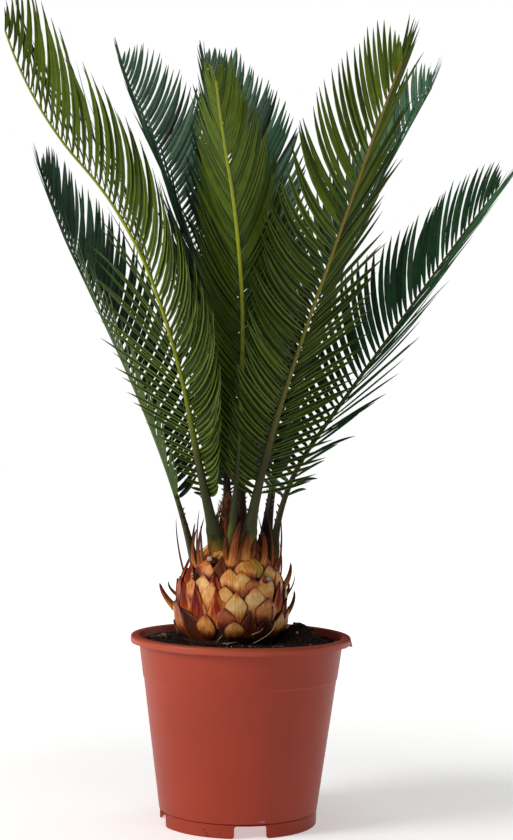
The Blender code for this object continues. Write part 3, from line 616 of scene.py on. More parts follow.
# dry pointed scales that stand out: start direction and height, tip direction, distance from the
# trunk's axis and height, half width, and the sideways bow of the middle in mm
spikes = [
    (180, .185, 180, .0620, .204, .0042, 1.0), (176, .214, 177, .0490, .260, .0013, -3.5),
    (205, .226, 203, .0310, .268, .0012, 2.0), (222, .224, 218, .0340, .255, .0015, 3.0),
    (-88, .226, -77, .0320, .2610, .0036, -1.5), (-26, .230, -25, .0240, .264, .0012, 1.0),
    (-24, .219, -22, .0315, .267, .0014, 1.5), (-8, .215, -6, .0415, .265, .0016, -2.0),
    (4, .204, 4, .0510, .223, .0036, 0.5), (-5, .182, -5, .0545, .200, .0030, 1.0),
    (66, .218, 64, .0380, .256, .0020, 2.0), (98, .215, 97, .0420, .250, .0024, -2.0),
    (140, .216, 142, .0420, .255, .0022, 2.0), (-80, .225, -67, .0330, .2510, .0016, -2.5),
    (-60, .226, -50, .0270, .259, .0022, 1.5), (-48, .224, -40, .0250, .256, .0014, -1.5),
    (-140, .222, -136, .0330, .262, .0016, -1.5), (-128, .224, -121, .0300, .256, .0012, 2.0),
    (-30, .2165, -9, .0405, .2425, .0011, 2.0), (-3, .212, -8, .0408, .2425, .0011, -3.5),
    (2, .196, 6, .0550, .212, .0012, 1.0), (176, .196, 175, .0550, .205, .0020, 0.5),
    (20, .190, 24, .0550, .204, .0026, 1.0), (-88, .230, -84, .0300, .2560, .0020, -1.0),
    (-68, .228, -66, .0310, .2520, .0046, -1.0), (-38, .225, -37, .0320, .2520, .0032, 1.5),
    (-97, .228, -93, .0290, .2560, .0022, -2.5), (-152, .222, -150, .0350, .2520, .0024, -1.5),
]

# cut stalks: direction, height, half width and length in mm
stubs = [(-119, .2262, 3.3, 4.6), (-49, .2105, 3.6, 4.4), (-137, .2138, 1.8, 2.4), (70, .205, 2.0, 2.6),
         (150, .190, 1.8, 2.4)]

# radius and height along the side, smoothed over 25 neighbours, and its arc length in metres
bulbArc = np.linspace(0, 1, 401)
bulbR = np.interp(bulbArc, bulbShares, bulbRadii)
bulbZ = trunk["foot"] + trunk["height"] * np.interp(bulbArc, bulbShares, bulbHeights)
bulbR, bulbZ = (np.convolve(np.pad(v, 12, mode="edge"), np.ones(25) / 25, "valid") for v in (bulbR, bulbZ))
bulbS = np.concatenate([[0], np.cumsum(np.hypot(np.diff(bulbR), np.diff(bulbZ)))])


def bulbRadiusAt(height):
    return np.interp(height, bulbZ, bulbR)


# point = axis + (radius + lift * normal) at arc s and direction turn; the normal is the side's
# slope turned a quarter
def onBulb(turn, s, lift):
    radius, height = np.interp(s, bulbS, bulbR), np.interp(s, bulbS, bulbZ)
    slopeR = np.interp(s, bulbS, np.gradient(bulbR, bulbS))
    slopeZ = np.interp(s, bulbS, np.gradient(bulbZ, bulbS))
    over = np.maximum(0, s - bulbS[-1])
    reach = np.maximum(radius + slopeZ * lift, 0.0005)
    return around(reach, turn, height - slopeR * lift + over * 0.5, trunkX)


# golden-angle tiles for the sides and back that the photograph doesn't show, where none is near
def allTiles():
    tiles = [list(t) for t in seenTiles]
    seenTurn, seenHeight = np.array(seenTiles, float).T[:2]
    for k in range(trunk["spread"]):
        share = (k + 0.5) / trunk["spread"] * 0.90
        direction = (goldenTurn * k + 60) % 360 - 180
        height, radius = (float(np.interp(share, bulbArc, v)) for v in (bulbZ, bulbR))
        aside = np.radians(np.abs((direction - seenTurn + 180) % 360 - 180)) * radius
        draw = rng.uniform(0, 1, 4)
        if -166 < direction < -8 or np.hypot(aside, height - seenHeight).min() < 0.011:
            continue
        kind = tanSlot + int(np.searchsorted([0.66, 0.86], draw[0]))
        tall = 15.5 if kind == redSlot else 11.0
        grow = 0.80 + 0.20 * np.clip((0.232 - height) / 0.03, 0, 1)
        tiles.append([direction, height, 9.2 * grow, tall * grow, (draw[1] - 0.5) * 16, 1.2 + draw[2], kind,
                      draw[3]])
    return tiles


# tile: across a = -1..1, up b = 0..1, from its tucked foot at y = -tuck to its top at y = 1 half
# heights. Its half width is (1 - s^p)^q above the widest line for a tile and a long point for a
# scale. lift = a slope from the sunk foot to the standing top + bulge (1 - a^2) - a dip at the
# edge. rim is the distance from the outline in mm.
def tileShapes(tiles):
    numbers = np.array(tiles, float)
    direction, height, halfWide, halfTall, lean, stand, kind, tone = numbers.T[:, :, None, None]
    pointed = (kind > tanSlot) * 1.0
    count, rows, columns = len(tiles), trunk["tileRows"], trunk["tileColumns"]
    a = np.sin(np.linspace(-1, 1, columns) * np.pi / 2)[None, None, :]
    b = np.sin(np.linspace(0, 1, rows) * np.pi / 2)[None, :, None]
    own = rng.uniform(0, 1, (3, count, 1, 1))
    tuck, widen = (v[0] * (1 - pointed) + v[1] * pointed for v in (trunk["tuck"], trunk["widen"]))
    widest = tuck / (tuck + 1) * (1 - pointed) + 0.30 * pointed
    below, above = np.clip(b / widest, 0, 1), np.clip((b - widest) / (1 - widest), 0, 1)
    lens = (1 - above ** (1.02 + 0.55 * own[0] ** 1.5)) ** 0.86
    point = (1 - above) ** (0.85 + 0.3 * own[0])
    foot = 0.42 + 0.58 * np.sin(below * np.pi / 2) ** 1.2
    outline = np.maximum(foot * (lens * (1 - pointed) + point * pointed), 0.02)
    halfWide = halfWide * widen
    seeds = np.broadcast_to(np.arange(count)[:, None, None] * 3.7, (count, rows, columns))
    wobble = softNoise(stacked(seeds, b * 3.0, a * 0.5), 1.0, 9)
    x = halfWide * 0.001 * outline * a * (1 + 0.16 * wobble) + 0.0016 * (own[1] - 0.5) * b ** 2
    y = halfTall * 0.001 * ((tuck + 1) * b - tuck) * (1 + 0.04 * wobble)
    leaned = np.radians(lean)
    s = np.interp(height, bulbZ, bulbS) + y * np.cos(leaned) - x * np.sin(leaned)
    radius = np.maximum(np.interp(s, bulbS, bulbR), 0.012)
    turn = np.radians(direction) + (x * np.cos(leaned) + y * np.sin(leaned)) / radius
    rim = np.minimum(halfWide * outline * (1 - np.abs(a)), halfTall * (tuck + 1) * (1 - b))
    bulge = trunk["bulge"] * (1 - a ** 2) * np.sin(np.clip(b, 0, 1) * np.pi * 0.85) * (1 - 0.3 * pointed)
    flare = np.clip((b - 0.60) / 0.40, 0, 1) ** 2 * trunk["flare"] * pointed
    ridge = trunk["ridge"] * pointed * np.exp(-(a / 0.22) ** 2)
    slope = (stand * 0.00068 + trunk["sunk"]) * b ** 0.9 - trunk["sunk"] + 0.0006 * own[2]
    dip = trunk["dip"] * np.clip(1 - rim / 0.8, 0, 1)
    fibres = softNoise(stacked(x * 1500, y * 90, seeds), 1.0, 6)
    lift = slope + bulge + flare + ridge - dip + 0.00022 * wobble + 0.00006 * fibres
    size = rows * columns
    outer = onBulb(turn, s, lift).reshape(count, size, 3)
    inner = onBulb(turn, s, lift - trunk["thick"] * (1 - 0.4 * a ** 2)).reshape(count, size, 3)
    top = gridQuads(rows, columns)
    edge = np.concatenate([np.arange(columns), np.arange(1, rows) * columns + columns - 1,
                           np.arange(columns - 2, -1, -1) + (rows - 1) * columns,
                           np.arange(rows - 2, 0, -1) * columns])
    after = np.roll(edge, -1)
    border = np.stack([after, edge, edge + size, after + size], -1)
    faces = np.concatenate([top, top[:, ::-1] + size, border])
    slots = np.repeat(kind.ravel().astype(int), len(faces))
    uv = stacked(x + seeds * 0.02, y).reshape(count, size, 2)
    rim, rise = (np.broadcast_to(v, (count, rows, columns)).reshape(count, size) for v in (rim, b))
    return part(np.concatenate([outer, inner], 1), [repeated(faces, count, 2 * size)], [slots],
                np.concatenate([uv, uv], 1), np.repeat(tone.ravel(), 2 * size),
                np.concatenate([rim, 0 * rim + 0.3], 1).ravel(), np.concatenate([rise, rise], 1).ravel())


# flat tapering blades from the bulb's side to their tips, bowed outwards and a little sideways
def spikeShapes():
    # dark scales packed round the bud between the stalks, in two rings
    count = trunk["crownScales"]
    turn = ((np.arange(count) * goldenTurn + rng.uniform(-14, 14, count)) % 360)[:, None]
    inner = (np.arange(count) % 2)[:, None]
    ring = np.hstack([turn, 0.2365 + 0.003 * inner + rng.uniform(-0.002, 0.002, (count, 1)),
                      turn + rng.uniform(-10, 10, (count, 1)),
                      0.0245 - 0.007 * inner + rng.uniform(-0.002, 0.003, (count, 1)),
                      0.2560 + 0.010 * inner + rng.uniform(-0.009, 0.008, (count, 1)),
                      rng.uniform(0.0011, 0.0032, (count, 1)), rng.uniform(-3.5, 3.5, (count, 1))])
    # those in front stand behind the stalks, which show down to their feet
    front = np.abs((turn[:, 0] + 270) % 360 - 180) < 84
    ring[front, 1], ring[front, 3] = 0.2420, 0.0130
    ring[front, 4] += 0.006
    startTurn, startHeight, endTurn, endRadius, endHeight, half, bow = np.vstack([spikes, ring]).T
    startTurn, endTurn = np.radians(startTurn), np.radians(endTurn)
    share = np.linspace(0, 1, 11)
    low = around(bulbRadiusAt(startHeight) - 0.001, startTurn, startHeight - 0.003, trunkX)
    high = around(endRadius, endTurn, endHeight, trunkX)
    out = around(1, (startTurn + endTurn) / 2, 0)
    side = np.cross([0, 0, 1], out)
    arch = (4 * share * (1 - share))[None, :, None]
    paths = low[:, None] + (high - low)[:, None] * share[None, :, None]
    paths = paths + arch * (out * 0.0022 + side * bow[:, None] * 0.001)[:, None]
    width = half[:, None] * np.interp(share, [0, .25, .7, .93, 1], [1.25, 1.1, .70, .36, .10])[None]
    tones = np.clip(half / 0.0042 + rng.uniform(-0.2, 0.2, len(half)), 0, 1)
    return sweep(paths, width, np.maximum(width * 0.62, 0.00015), out, 7, slot=drySlot,
                 tone=tones, rim=4.0, rise=np.broadcast_to(share, width.shape))


# round cut stalks that point outwards and a little up, pale on the cut
def stubShapes():
    direction, height, half, reach = np.array(stubs).T
    turn = np.radians(direction)
    out = unit(around(1, turn, 0.35))
    start = around(bulbRadiusAt(height), turn, height, trunkX) + out * 0.001
    share = np.array([-0.6, 0.5, 1.0, 1.12])
    paths = start[:, None] + out[:, None] * (reach * 0.001)[:, None, None] * share[None, :, None]
    width = (half * 0.001)[:, None] * np.array([1.25, 1.0, 0.98, 0.80])
    return sweep(paths, width, width * 0.8, np.array([0, 0, 1.0]), 8, slot=drySlot, capSlot=cutSlot, tone=0.3)


def buildTrunk():
    rows, sides = trunk["coreRows"], trunk["coreSides"]
    s, turn = np.meshgrid(np.linspace(0, bulbS[-1] * 0.985, rows), fullTurn(sides), indexing="ij")
    surface = onBulb(turn, s, 0 * s)
    lift = -trunk["core"] + 0.0009 * softNoise(surface, 0.004, 1) + 0.0006 * softNoise(surface, 0.0016, 2)
    rings = onBulb(turn, s, lift)
    rings[0, :, 2] = trunk["foot"]
    core = part(rings, tubeFaces(rows, sides), [coreSlot] * 3)
    tiles = allTiles()
    shape = join([core, tileShapes(tiles), spikeShapes(), stubShapes()])
    # scales that reach below the soil line are trimmed level with the trunk's foot
    shape["points"][:, 2] = np.maximum(shape["points"][:, 2], trunk["foot"])
    paints = [grainPaint("oldTrunkFibre", "#241108", "#5A3018", fibre), tilePaint()]
    paints += [scalePaint(name, look) for name, look in scaleLooks.items()]
    paints.append(grainPaint("cutStalk", "#5E5042", "#C8BCA6", fibre))
    made = addPiece("scaleTrunk", shape, paints, sharp=50)
    settle(made, ["trunk"])
    print("trunk:", len(tiles), "tiles,", len(made.data.polygons), "faces")


# colours of the pointed scales, from the thin edge low down to the thick middle and the tip
scaleLooks = {
    "redLeafScale": dict(steps=("#D69A50", "#BE5A1E", "#88200A", "#501007", "#200A05"), seam="#2A0E07",
                         toned=-0.25),
    "brownLeafScale": dict(steps=("#B0702E", "#803E16", "#5C2410", "#3A150B", "#1E0B07"), seam="#1C0B06",
                           toned=-0.2),
    "greenLeafFoot": dict(steps=("#D8B060", "#C2B248", "#A8A034", "#B87A34", "#7A3A1A"), seam="#7A3A1A",
                          toned=0.0),
    "dryBract": dict(steps=("#C48440", "#945022", "#683014", "#42200E", "#241008"), seam="#3E180E",
                     toned=-0.45),
}
tile = dict(steps=("#EEC88A", "#DEA658", "#C87A2C", "#9C4014", "#5E1C0A"), edge="#A84C16", rim="#6E200B",
            seam="#451709", speck="#3C1C0E", stain="#2A140A")


# a leaf foot's own map in metres, the streaks along it, its tone, edge distance in mm and rise.
# The real fibres are 0.3 mm apart, too fine to show, so the streaks are drawn four times as wide.
def leafFootNodes(tree, across, along):
    place = node(tree, "UVMap", uv_map="pieceMap")
    narrow = node(tree, "Mapping", {"Vector": place, "Scale": (across, along, 1)})
    streaks = node(tree, "TexNoise", {"Vector": narrow, "Scale": 1.0, "Detail": 4.0, "Roughness": 0.7})
    held = [node(tree, "Attribute", attribute_name=n).outputs["Fac"] for n in ("tone", "rim", "rise")]
    return place, streaks, *held


# the dry foot of a leaf: streaked waxy tan that runs to orange, red-brown and nearly black at
# the papery edge, in streaks of 1.3 mm and patches of 6 mm, with painted shade on its low part
def tilePaint():
    paint, tree, shader = newPaint("dryLeafFoot", {"Roughness": 0.5, "Specular IOR Level": 0.40,
                                                   "Coat Weight": 0.08, "Coat Roughness": 0.35})
    place, streaks, tone, rim, rise = leafFootNodes(tree, 760, 70)
    patches = node(tree, "TexNoise", {"Vector": place, "Scale": 170.0, "Detail": 3.0})
    # step of the ramp = 0.62 streaks + 0.4 patches + 0.42 tone + painted shade low down + more at the top
    step = -0.205
    for source, weight in ((streaks, 0.62), (patches, 0.40), (tone, 0.42)):
        step = node(tree, "Math", (source, weight, step), operation="MULTIPLY_ADD")
    # painted shade where each tile comes out from under the tiles below; darker towards the top too
    lowShadeAndDarkTop = node(tree, "ValToRGB", (rise,), [
        (at, (grey, grey, grey, 1)) for at, grey in ((0.20, 0.34), (0.48, 0), (0.80, 0.02), (1.0, 0.26))])
    step = node(tree, "Math", (lowShadeAndDarkTop, step), operation="ADD")
    base = node(tree, "ValToRGB", (step,), list(zip((0.28, 0.42, 0.56, 0.74, 0.92), tile["steps"])))
    # the border's distance in mm wavers with the streaks and patches
    border = -1.7
    for source, weight in ((streaks, 3.4), (patches, 3.0), (rim, 1.0)):
        border = node(tree, "Math", (source, weight, border), operation="MULTIPLY_ADD")
    share = node(tree, "Math", (border, 0.34, -0.51), operation="MULTIPLY_ADD")
    edge = node(tree, "ValToRGB", (share,), [
        (0.06, tile["seam"]), (0.16, tile["rim"]), (0.36, tile["edge"])])
    edgePart = node(tree, "MapRange", (share, 0.20, 0.60, 1.0, 0.0))
    last = node(tree, "Mix", {0: edgePart, 6: base, 7: edge}, data_type="RGBA")
    # a few dark specks, only in the stronger patches
    specks = node(tree, "TexVoronoi", {"Vector": place, "Scale": 420.0})
    speckChance = node(tree, "MapRange", (specks, 0.12, 0.22, 0.85, 0.0))
    rare = node(tree, "Math", (patches, 0.58), operation="GREATER_THAN")
    speckPart = node(tree, "Math", (speckChance, rare), operation="MULTIPLY")
    # peat stains the lowest 12 mm
    height = node(tree, "SeparateXYZ", (node(tree, "TexCoord").outputs["Object"],)).outputs["Z"]
    height = node(tree, "Math", (patches, -0.012, height), operation="MULTIPLY_ADD")
    stain = node(tree, "MapRange", (height, 0.153, 0.165, 0.92, 0.0))
    for covered, tint in ((speckPart, tile["speck"]), (stain, tile["stain"])):
        last = node(tree, "Mix", {0: covered, 6: last, 7: tint}, data_type="RGBA")
    bump = node(tree, "Bump", {"Strength": 0.45, "Distance": 0.0005, "Height": streaks})
    feed(shader, {"Base Color": last, "Normal": bump})
    return paint


# a dull fibrous scale: pale where it is thin, low down and at its edge, and darker to its middle
# and tip. The step is 1.2 streaks + toned * tone + 0.72 rise - 0.53 + what the edge's distance
# gives, which grows from -0.15 to 0.32 over 4 mm.
def scalePaint(name, look):
    paint, tree, shader = newPaint(name, {"Roughness": 0.65, "Specular IOR Level": 0.15})
    _, streaks, tone, rim, rise = leafFootNodes(tree, 620, 60)
    step = node(tree, "MapRange", (rim, 0, 4.0, -0.15, 0.32))
    for source, weight in ((rise, 0.72), (tone, look["toned"]), (streaks, 1.2)):
        step = node(tree, "Math", (source, weight, step), operation="MULTIPLY_ADD")
    step = node(tree, "Math", (step, 0.53), operation="SUBTRACT")
    colour = node(tree, "ValToRGB", (step,), list(zip((0.05, 0.28, 0.50, 0.74, 0.95), look["steps"])))
    border = node(tree, "MapRange", (rim, 0.25, 0.7, 0.85, 0.0))
    edged = node(tree, "Mix", {0: border, 6: colour, 7: look["seam"]}, data_type="RGBA")
    bump = node(tree, "Bump", {"Strength": 0.6, "Distance": 0.0004, "Height": streaks})
    feed(shader, {"Base Color": edged, "Normal": bump})
    return paint


# Bud: next year's fronds still rolled up in brown wool, in the middle of the crown

bud = dict(foot=0.238, top=0.2860, radius=0.0118, middle=-0.0125, fingers=11, thick=0.0038, hairs=1100)


def buildBud():
    count = bud["fingers"]
    share = np.linspace(0, 1, 14)
    turn = np.arange(count) * np.radians(137.5)
    ring = bud["radius"] * 0.62 * np.sqrt((np.arange(count) + 0.3) / count)
    top = bud["top"] - 0.012 * (np.arange(count) / count) ** 1.2 - 0.001
    base = around(ring, turn, bud["foot"], bud["middle"])
    tip = around(ring * 0.55, turn, top, bud["middle"])
    paths = base[:, None] + (tip - base)[:, None] * share[None, :, None]
    fat = np.interp(share, [0, .3, .75, .93, 1], [1, 1, .82, .5, .08])[None] * bud["thick"]
    fingers = sweep(paths, fat, fat * 0.8, around(1, turn, 0), 10, tone=rng.uniform(0, 1, count))
    # wool: short fine strands that lie upwards along the fingers
    hairs = bud["hairs"]
    height = rng.uniform(0, 1, hairs)
    turn = rng.uniform(0, 2 * np.pi, hairs)
    girth = bud["radius"] * np.interp(height, [0, .6, .9, 1], [1.0, .86, .55, .2])
    rise = bud["foot"] + height * (bud["top"] - bud["foot"] - 0.009)
    start = around(girth * 0.9, turn, rise, bud["middle"])
    lean = around(1, turn, 0) * rng.uniform(-0.1, 0.35, (hairs, 1))
    drift = rng.normal(0, 0.25, (hairs, 3))
    reach = rng.uniform(0.003, 0.008, hairs)[:, None]
    heading = unit(lean + drift * [1, 1, 0.2] + [0, 0, 1]) * reach
    bend = rng.normal(0, 0.0008, (hairs, 3))
    along = np.linspace(0, 1, 4)[None, :, None]
    paths = start[:, None] + heading[:, None] * along + bend[:, None] * along ** 2
    thin = np.array([0.00022, 0.0002, 0.00014, 0.00004])[None]
    slots = rng.choice([1, 2], hairs, p=[0.75, 0.25])
    wool = sweep(paths, thin, thin, np.array([1.0, 0.2, 0.1]), 3, slot=slots)
    paints = [grainPaint("woollyBudScale", "#260E08", "#5A2414", fibre),
              grainPaint("budWool", "#3A1E10", "#6E3E1E", fibre),
              grainPaint("budWoolPale", "#7A5430", "#B08A58", fibre)]
    made = addPiece("woollyBud", join([fingers, wool]), paints, sharp=60)
    settle(made, ["crown_bud"])
    print("bud:", len(made.data.polygons), "faces")


# Fronds: one entry for each, over what they have in common. Values in brackets stand at even
# places from the rib's foot to its tip, or from the first leaflet to the last, and where the
# left hand (1, looking outward) and the right (-1) differ, they stand for each.
# Rib: lean is its angle from upright, heading its compass direction, roll the turn of the
# leaflets' plane about it, stalk its thickness, start the share of it that is bare, spines
# their number on each side.
# Leaflets: root and tip are the angles they make with the rib where they start and end, vee
# lifts them above the rib's plane, curl lifts their ends, louvre turns each on its own axis,
# leaf is their greatest length, at the peak, footShare and tipShare their lengths at both ends,
# reach and thin change length and width along the row, apart is their spacing, and crowd
# sets the first closer together than the last.

frondCommon = dict(footShare=0.35, tipShare=0.42, thin=(1, 1), reach=(1, 1), louvre=(15, 15), crowd=0.86,
                   stalk=1.00)
fronds = {
    "front_left": dict(
        foot=(-0.021, -0.018, 0.236), length=0.474, start=0.105, stalk=1.22, spines=2,
        lean=(26.2, 17.8, 28.6, 53.1, 23.4), heading=(-118.9, -134.7, -138.2), roll=(19, -23, 12),
        vee={1: (-19, 27, 72), -1: (-19, 34, 98)}, root={1: (74, 58, 44, 36), -1: (60, 55, 37)},
        tip={1: (30, 4, 14, 12), -1: (63, 40, 8)}, curl=-17,
        thin={1: (1.25, 1.2, 0.95, 0.95), -1: (0.65, 0.75, 0.85, 0.85)},
        reach={1: (1, 1, 1.05, 1.2, 1.1), -1: (0.45, 1.20, 1.26, 1.15, 1.1)}, leaf=0.111, footShare=0.17,
        tipShare=0.38, peak=0.35, wide=0.0050, apart={1: 0.0060, -1: 0.0072}, crowd=0.70, look="warm"),
    "front_right": dict(
        foot=(0.004, -0.022, 0.240), length=0.445, start=0.10, stalk=1.22, spines=3,
        lean=(11, 23, 31, 39, 54), heading=(-41, -57, -76), roll=(-33, 17, 14), vee=(-1, 17, 58),
        root={1: (74, 56, 54, 36, 19), -1: (70, 60, 65, 42, 19)}, tip={1: (64, 56, 22), -1: (39, 35, 14)},
        curl=3, thin={1: (0.6, 0.8, 1.1), -1: (1, 1)}, reach={1: (1.25, 1.1, 1), -1: (1, 1)},
        louvre={1: (15, 30, 45), -1: (15, 15)}, leaf=0.099, footShare=0.40, tipShare=0.40, peak=0.56,
        wide=0.0058, apart=0.0066, look="warm", ribLook="tan"),
    "front": dict(
        foot=(-0.009, -0.030, 0.251), length=0.441, start=0.11, stalk=0.55, spines=2,
        lean=(13, 17, 34, 63, 58), heading=(-71, -97, -95), roll=(4, 3, -2), vee=(35, 40, 46),
        root={1: (58, 44, 16), -1: (58, 46, 13)}, tip={1: (39, 16, 2), -1: (39, 26, 9)}, curl=10,
        reach={1: (1.05, 1.15), -1: (1, 1)}, leaf=0.083, peak=0.36, wide=0.0045, apart=0.0062,
        look="warm", ribLook="fresh"),
    "right": dict(
        foot=(0.027, 0.006, 0.228), length=0.430, start=0.125, stalk=0.85, spines=6,
        lean=(2, 38, 41, 42, 48), heading=(18, 34, 43), roll=(21, 17, 30), vee=(15, 39, 56),
        root={1: (80, 44, 25), -1: (62, 34, 24)}, tip={1: (64, 18, 12), -1: (92, 62, 34)}, curl=9,
        thin={1: (1, 0.95), -1: (0.6, 0.6, 1.1)}, reach={1: (1, 1), -1: (1.1, 1.1)}, leaf=0.104,
        footShare=0.37, peak=0.25, wide=0.0056, apart={1: 0.0074, -1: 0.0098}, look="dim"),
    "left": dict(
        foot=(-0.042, -0.004, 0.226), length=0.417, start=0.13, stalk=0.80, spines=6,
        lean=(16, 27, 36, 40, 31), heading=(156, 136, 124), roll=(0, -2, 6),
        vee={1: (46, 49, 51, 53), -1: (22, 51, 54)}, root={1: (58, 42, 14), -1: (72, 42, 14)},
        tip=(46, 26, 8), curl=10, thin={1: (0.55, 0.6, 0.8, 0.8), -1: (1, 0.9, 0.8)},
        louvre={1: (-34, -12, 12, 15), -1: (15, 15)}, leaf=0.100, tipShare=0.38, peak=0.41, wide=0.0060,
        apart=0.0070, look="deep", ribLook="pale"),
    "back_left": dict(
        foot=(-0.013, 0.018, 0.241), length=0.483, start=0.1, spines=9,
        lean=(3, 11, 23, 38, 26), heading=(115, 132, 130), roll=(0, -12, 29), vee=(22, 48, 24),
        root={1: (72, 62, 27), -1: (72, 60, 38)}, tip={1: (46, 42, 10), -1: (46, 36, 20)}, curl=6,
        reach={1: (1, 1), -1: (1, 1.18, 1.30)}, thin={1: (1, 1), -1: (1, 0.85, 0.85)}, leaf=0.099,
        peak=0.43, wide=0.0074, apart=0.0058, look="mist", ribLook="cool"),
    "back_right": dict(
        foot=(0.020, 0.018, 0.241), length=0.485, start=0.12, spines=9,
        lean=(8, 18, 30, 36, 37), heading=(49, 43, 45), roll=(0, -5, -8), vee=(22, 31, 49),
        root=(72, 44, 27), tip=(46, 23, 13), curl=7, leaf=0.094, tipShare=0.52, peak=0.39, wide=0.0060,
        apart=0.0068, look="cool"),
    "back": dict(
        foot=(-0.002, 0.022, 0.245), length=0.488, start=0.1, spines=9,
        lean=(3, 14, 20, 33, 36), heading=(87, 102, 114), roll=(-1, -1, 27), vee=(24, 43, 39),
        root=(72, 57, 26), tip={1: (44, 41, 11), -1: (44, 32, 6)}, curl=7,
        reach={1: (1, 1), -1: (1, 1.08, 1.15)}, leaf=0.101, footShare=0.34, peak=0.49, wide=0.0074,
        apart=0.0058, look="cool"),
}
rib = dict(foot=0.0042, low=0.0020, middle=0.0016, end=0.0008, flat=0.85, root=0.034, sides=12, stations=64)
# along a leaflet: its stations and its half width at each; round it: a shallow roof with rolled
# edges, across and up in half widths. clump is the number that lean together, wander and spread
# are random turns in degrees, odd is the share of strays, by up to stray degrees, and short the
# share of short ones.
leaflet = dict(clump=3.5, wander=2.5, spread=dict(root=0.9, tip=1.6, vee=1.8, curl=3.5, louvre=5, twist=7),
               odd=0.045, stray=22, short=0.02, sway=0.018,
               stations=(0, .06, .17, .33, .50, .66, .81, .93, 1.0),
               shape=(.34, .60, .88, 1.0, .97, .84, .58, .26, .05),
               section=((-1, -.26), (-.46, .03), (.46, .03), (1, -.26), (.46, -.32), (-.46, -.32)))


def evenly(share, values):
    return np.interp(share, np.linspace(0, 1, len(values)), values)


# points = foot + running sum of the heading (sin lean cos heading, sin lean sin heading, cos
# lean); side and face are turned about it by the roll
def ribLine(frond, count=201):
    share = np.linspace(0, 1, count)
    lean, head, roll = (np.radians(evenly(share, frond[key])) for key in ("lean", "heading", "roll"))
    ahead = around(np.sin(lean), head, np.cos(lean))
    step = (ahead[1:] + ahead[:-1]) / 2 * frond["length"] / (count - 1)
    points = np.array(frond["foot"]) + np.vstack([[0, 0, 0], np.cumsum(step, 0)])
    side = stacked(-np.sin(head), np.cos(head), 0)
    face = np.cross(ahead, side)
    cos, sin = np.cos(roll)[:, None], np.sin(roll)[:, None]
    return points, ahead, side * cos + face * sin, face * cos - side * sin


def sided(values, hand):
    return values[hand] if isinstance(values, dict) else values


# the rows of values at shares of their number, blended between neighbours
def pick(values, share):
    place = np.asarray(share) * (len(values) - 1)
    low = np.clip(np.floor(place).astype(int), 0, len(values) - 2)
    between = (place - low)[:, None]
    return values[low] * (1 - between) + values[low + 1] * between


def ribRadius(frond, share):
    stalk = rib["foot"] * frond["stalk"]
    radius = [stalk * 1.2, stalk * 1.1, stalk * 0.74, rib["low"], rib["middle"], rib["end"]]
    return np.interp(share, [-0.06, 0.0, 0.12, 0.3, 0.5, 1.0], radius)


# grows from the foot's share to 1 at the peak as a sine, then falls as cos ** 0.75 to the tip's
def leafLength(frond, share):
    foot, tip, peak = frond["footShare"], frond["tipShare"], frond["peak"]
    rise = foot + (1 - foot) * np.sin(np.clip(share / peak, 0, 1) * np.pi / 2)
    fall = tip + (1 - tip) * np.cos(np.clip((share - peak) / (1 - peak), 0, 1) * np.pi / 2) ** 0.75
    end = 1 - 0.6 * np.clip((share - 0.90) / 0.10, 0, 1) ** 2
    return frond["leaf"] * np.where(share < peak, rise, fall) * end


# a tube along the rib, its foot sunk into the crown; a stalk widens where it joins it
def buildRib(name, frond, paints):
    points, ahead, side, face = ribLine(frond)
    share = np.linspace(0, 1, rib["stations"]) ** 1.1
    below = np.linspace(-1, -0.12, 6)
    centre = np.vstack([points[0] + ahead[0] * rib["root"] * 0.55 * below[:, None], pick(points, share)])
    place = np.concatenate([below * 0.04, share])
    faces = np.vstack([np.repeat(face[:1], 6, 0), pick(face, share)])
    radius = ribRadius(frond, place)
    spread = 1 + 0.70 * np.clip(1 - np.maximum(place + 0.012, 0) / 0.085, 0, 1) ** 1.3
    depth = radius * rib["flat"] * (1 + 0.2 * (spread - 1))
    stalk = sweep(centre[None], (radius * spread)[None], depth[None], faces[None], rib["sides"])
    stalk["uv"] = np.stack([stalk["uv"][:, 0], np.repeat(place, rib["sides"])], -1)
    # short hard spines down both sides of the bare stalk, longer towards the first leaflets
    parts = [stalk]
    for hand in (1, -1):
        count = frond["spines"]
        at = np.linspace(0.03, frond["start"] * 0.97, count) + rng.uniform(-0.005, 0.005, count)
        base, along, out, up = (pick(v, at) for v in (points, ahead, side, face))
        base = base + (hand * out * 0.8 + up * 0.25) * ribRadius(frond, at)[:, None]
        grow = np.interp(at / frond["start"], [0, .6, 1], [0.0016, 0.0024, 0.0060])[:, None]
        tilt = np.radians(rng.uniform(44, 66, count))[:, None]
        heading = unit(along * np.cos(tilt) + (hand * out + 0.3 * up) * np.sin(tilt)) * grow
        paths = base[:, None] + heading[:, None] * np.linspace(-0.2, 1, 4)[None, :, None]
        paths = paths + along[:, None] * (grow * 0.12)[:, None] * (np.linspace(0, 1, 4) ** 2)[None, :, None]
        thick = np.array([0.0011, 0.0010, 0.0006, 0.0001])[None]
        parts.append(sweep(paths, thick, thick * 0.8, up, 5, slot=1))
    made = addPiece("stalk_" + name, join(parts), paints, sharp=60)
    settle(made, ["rib_" + name])


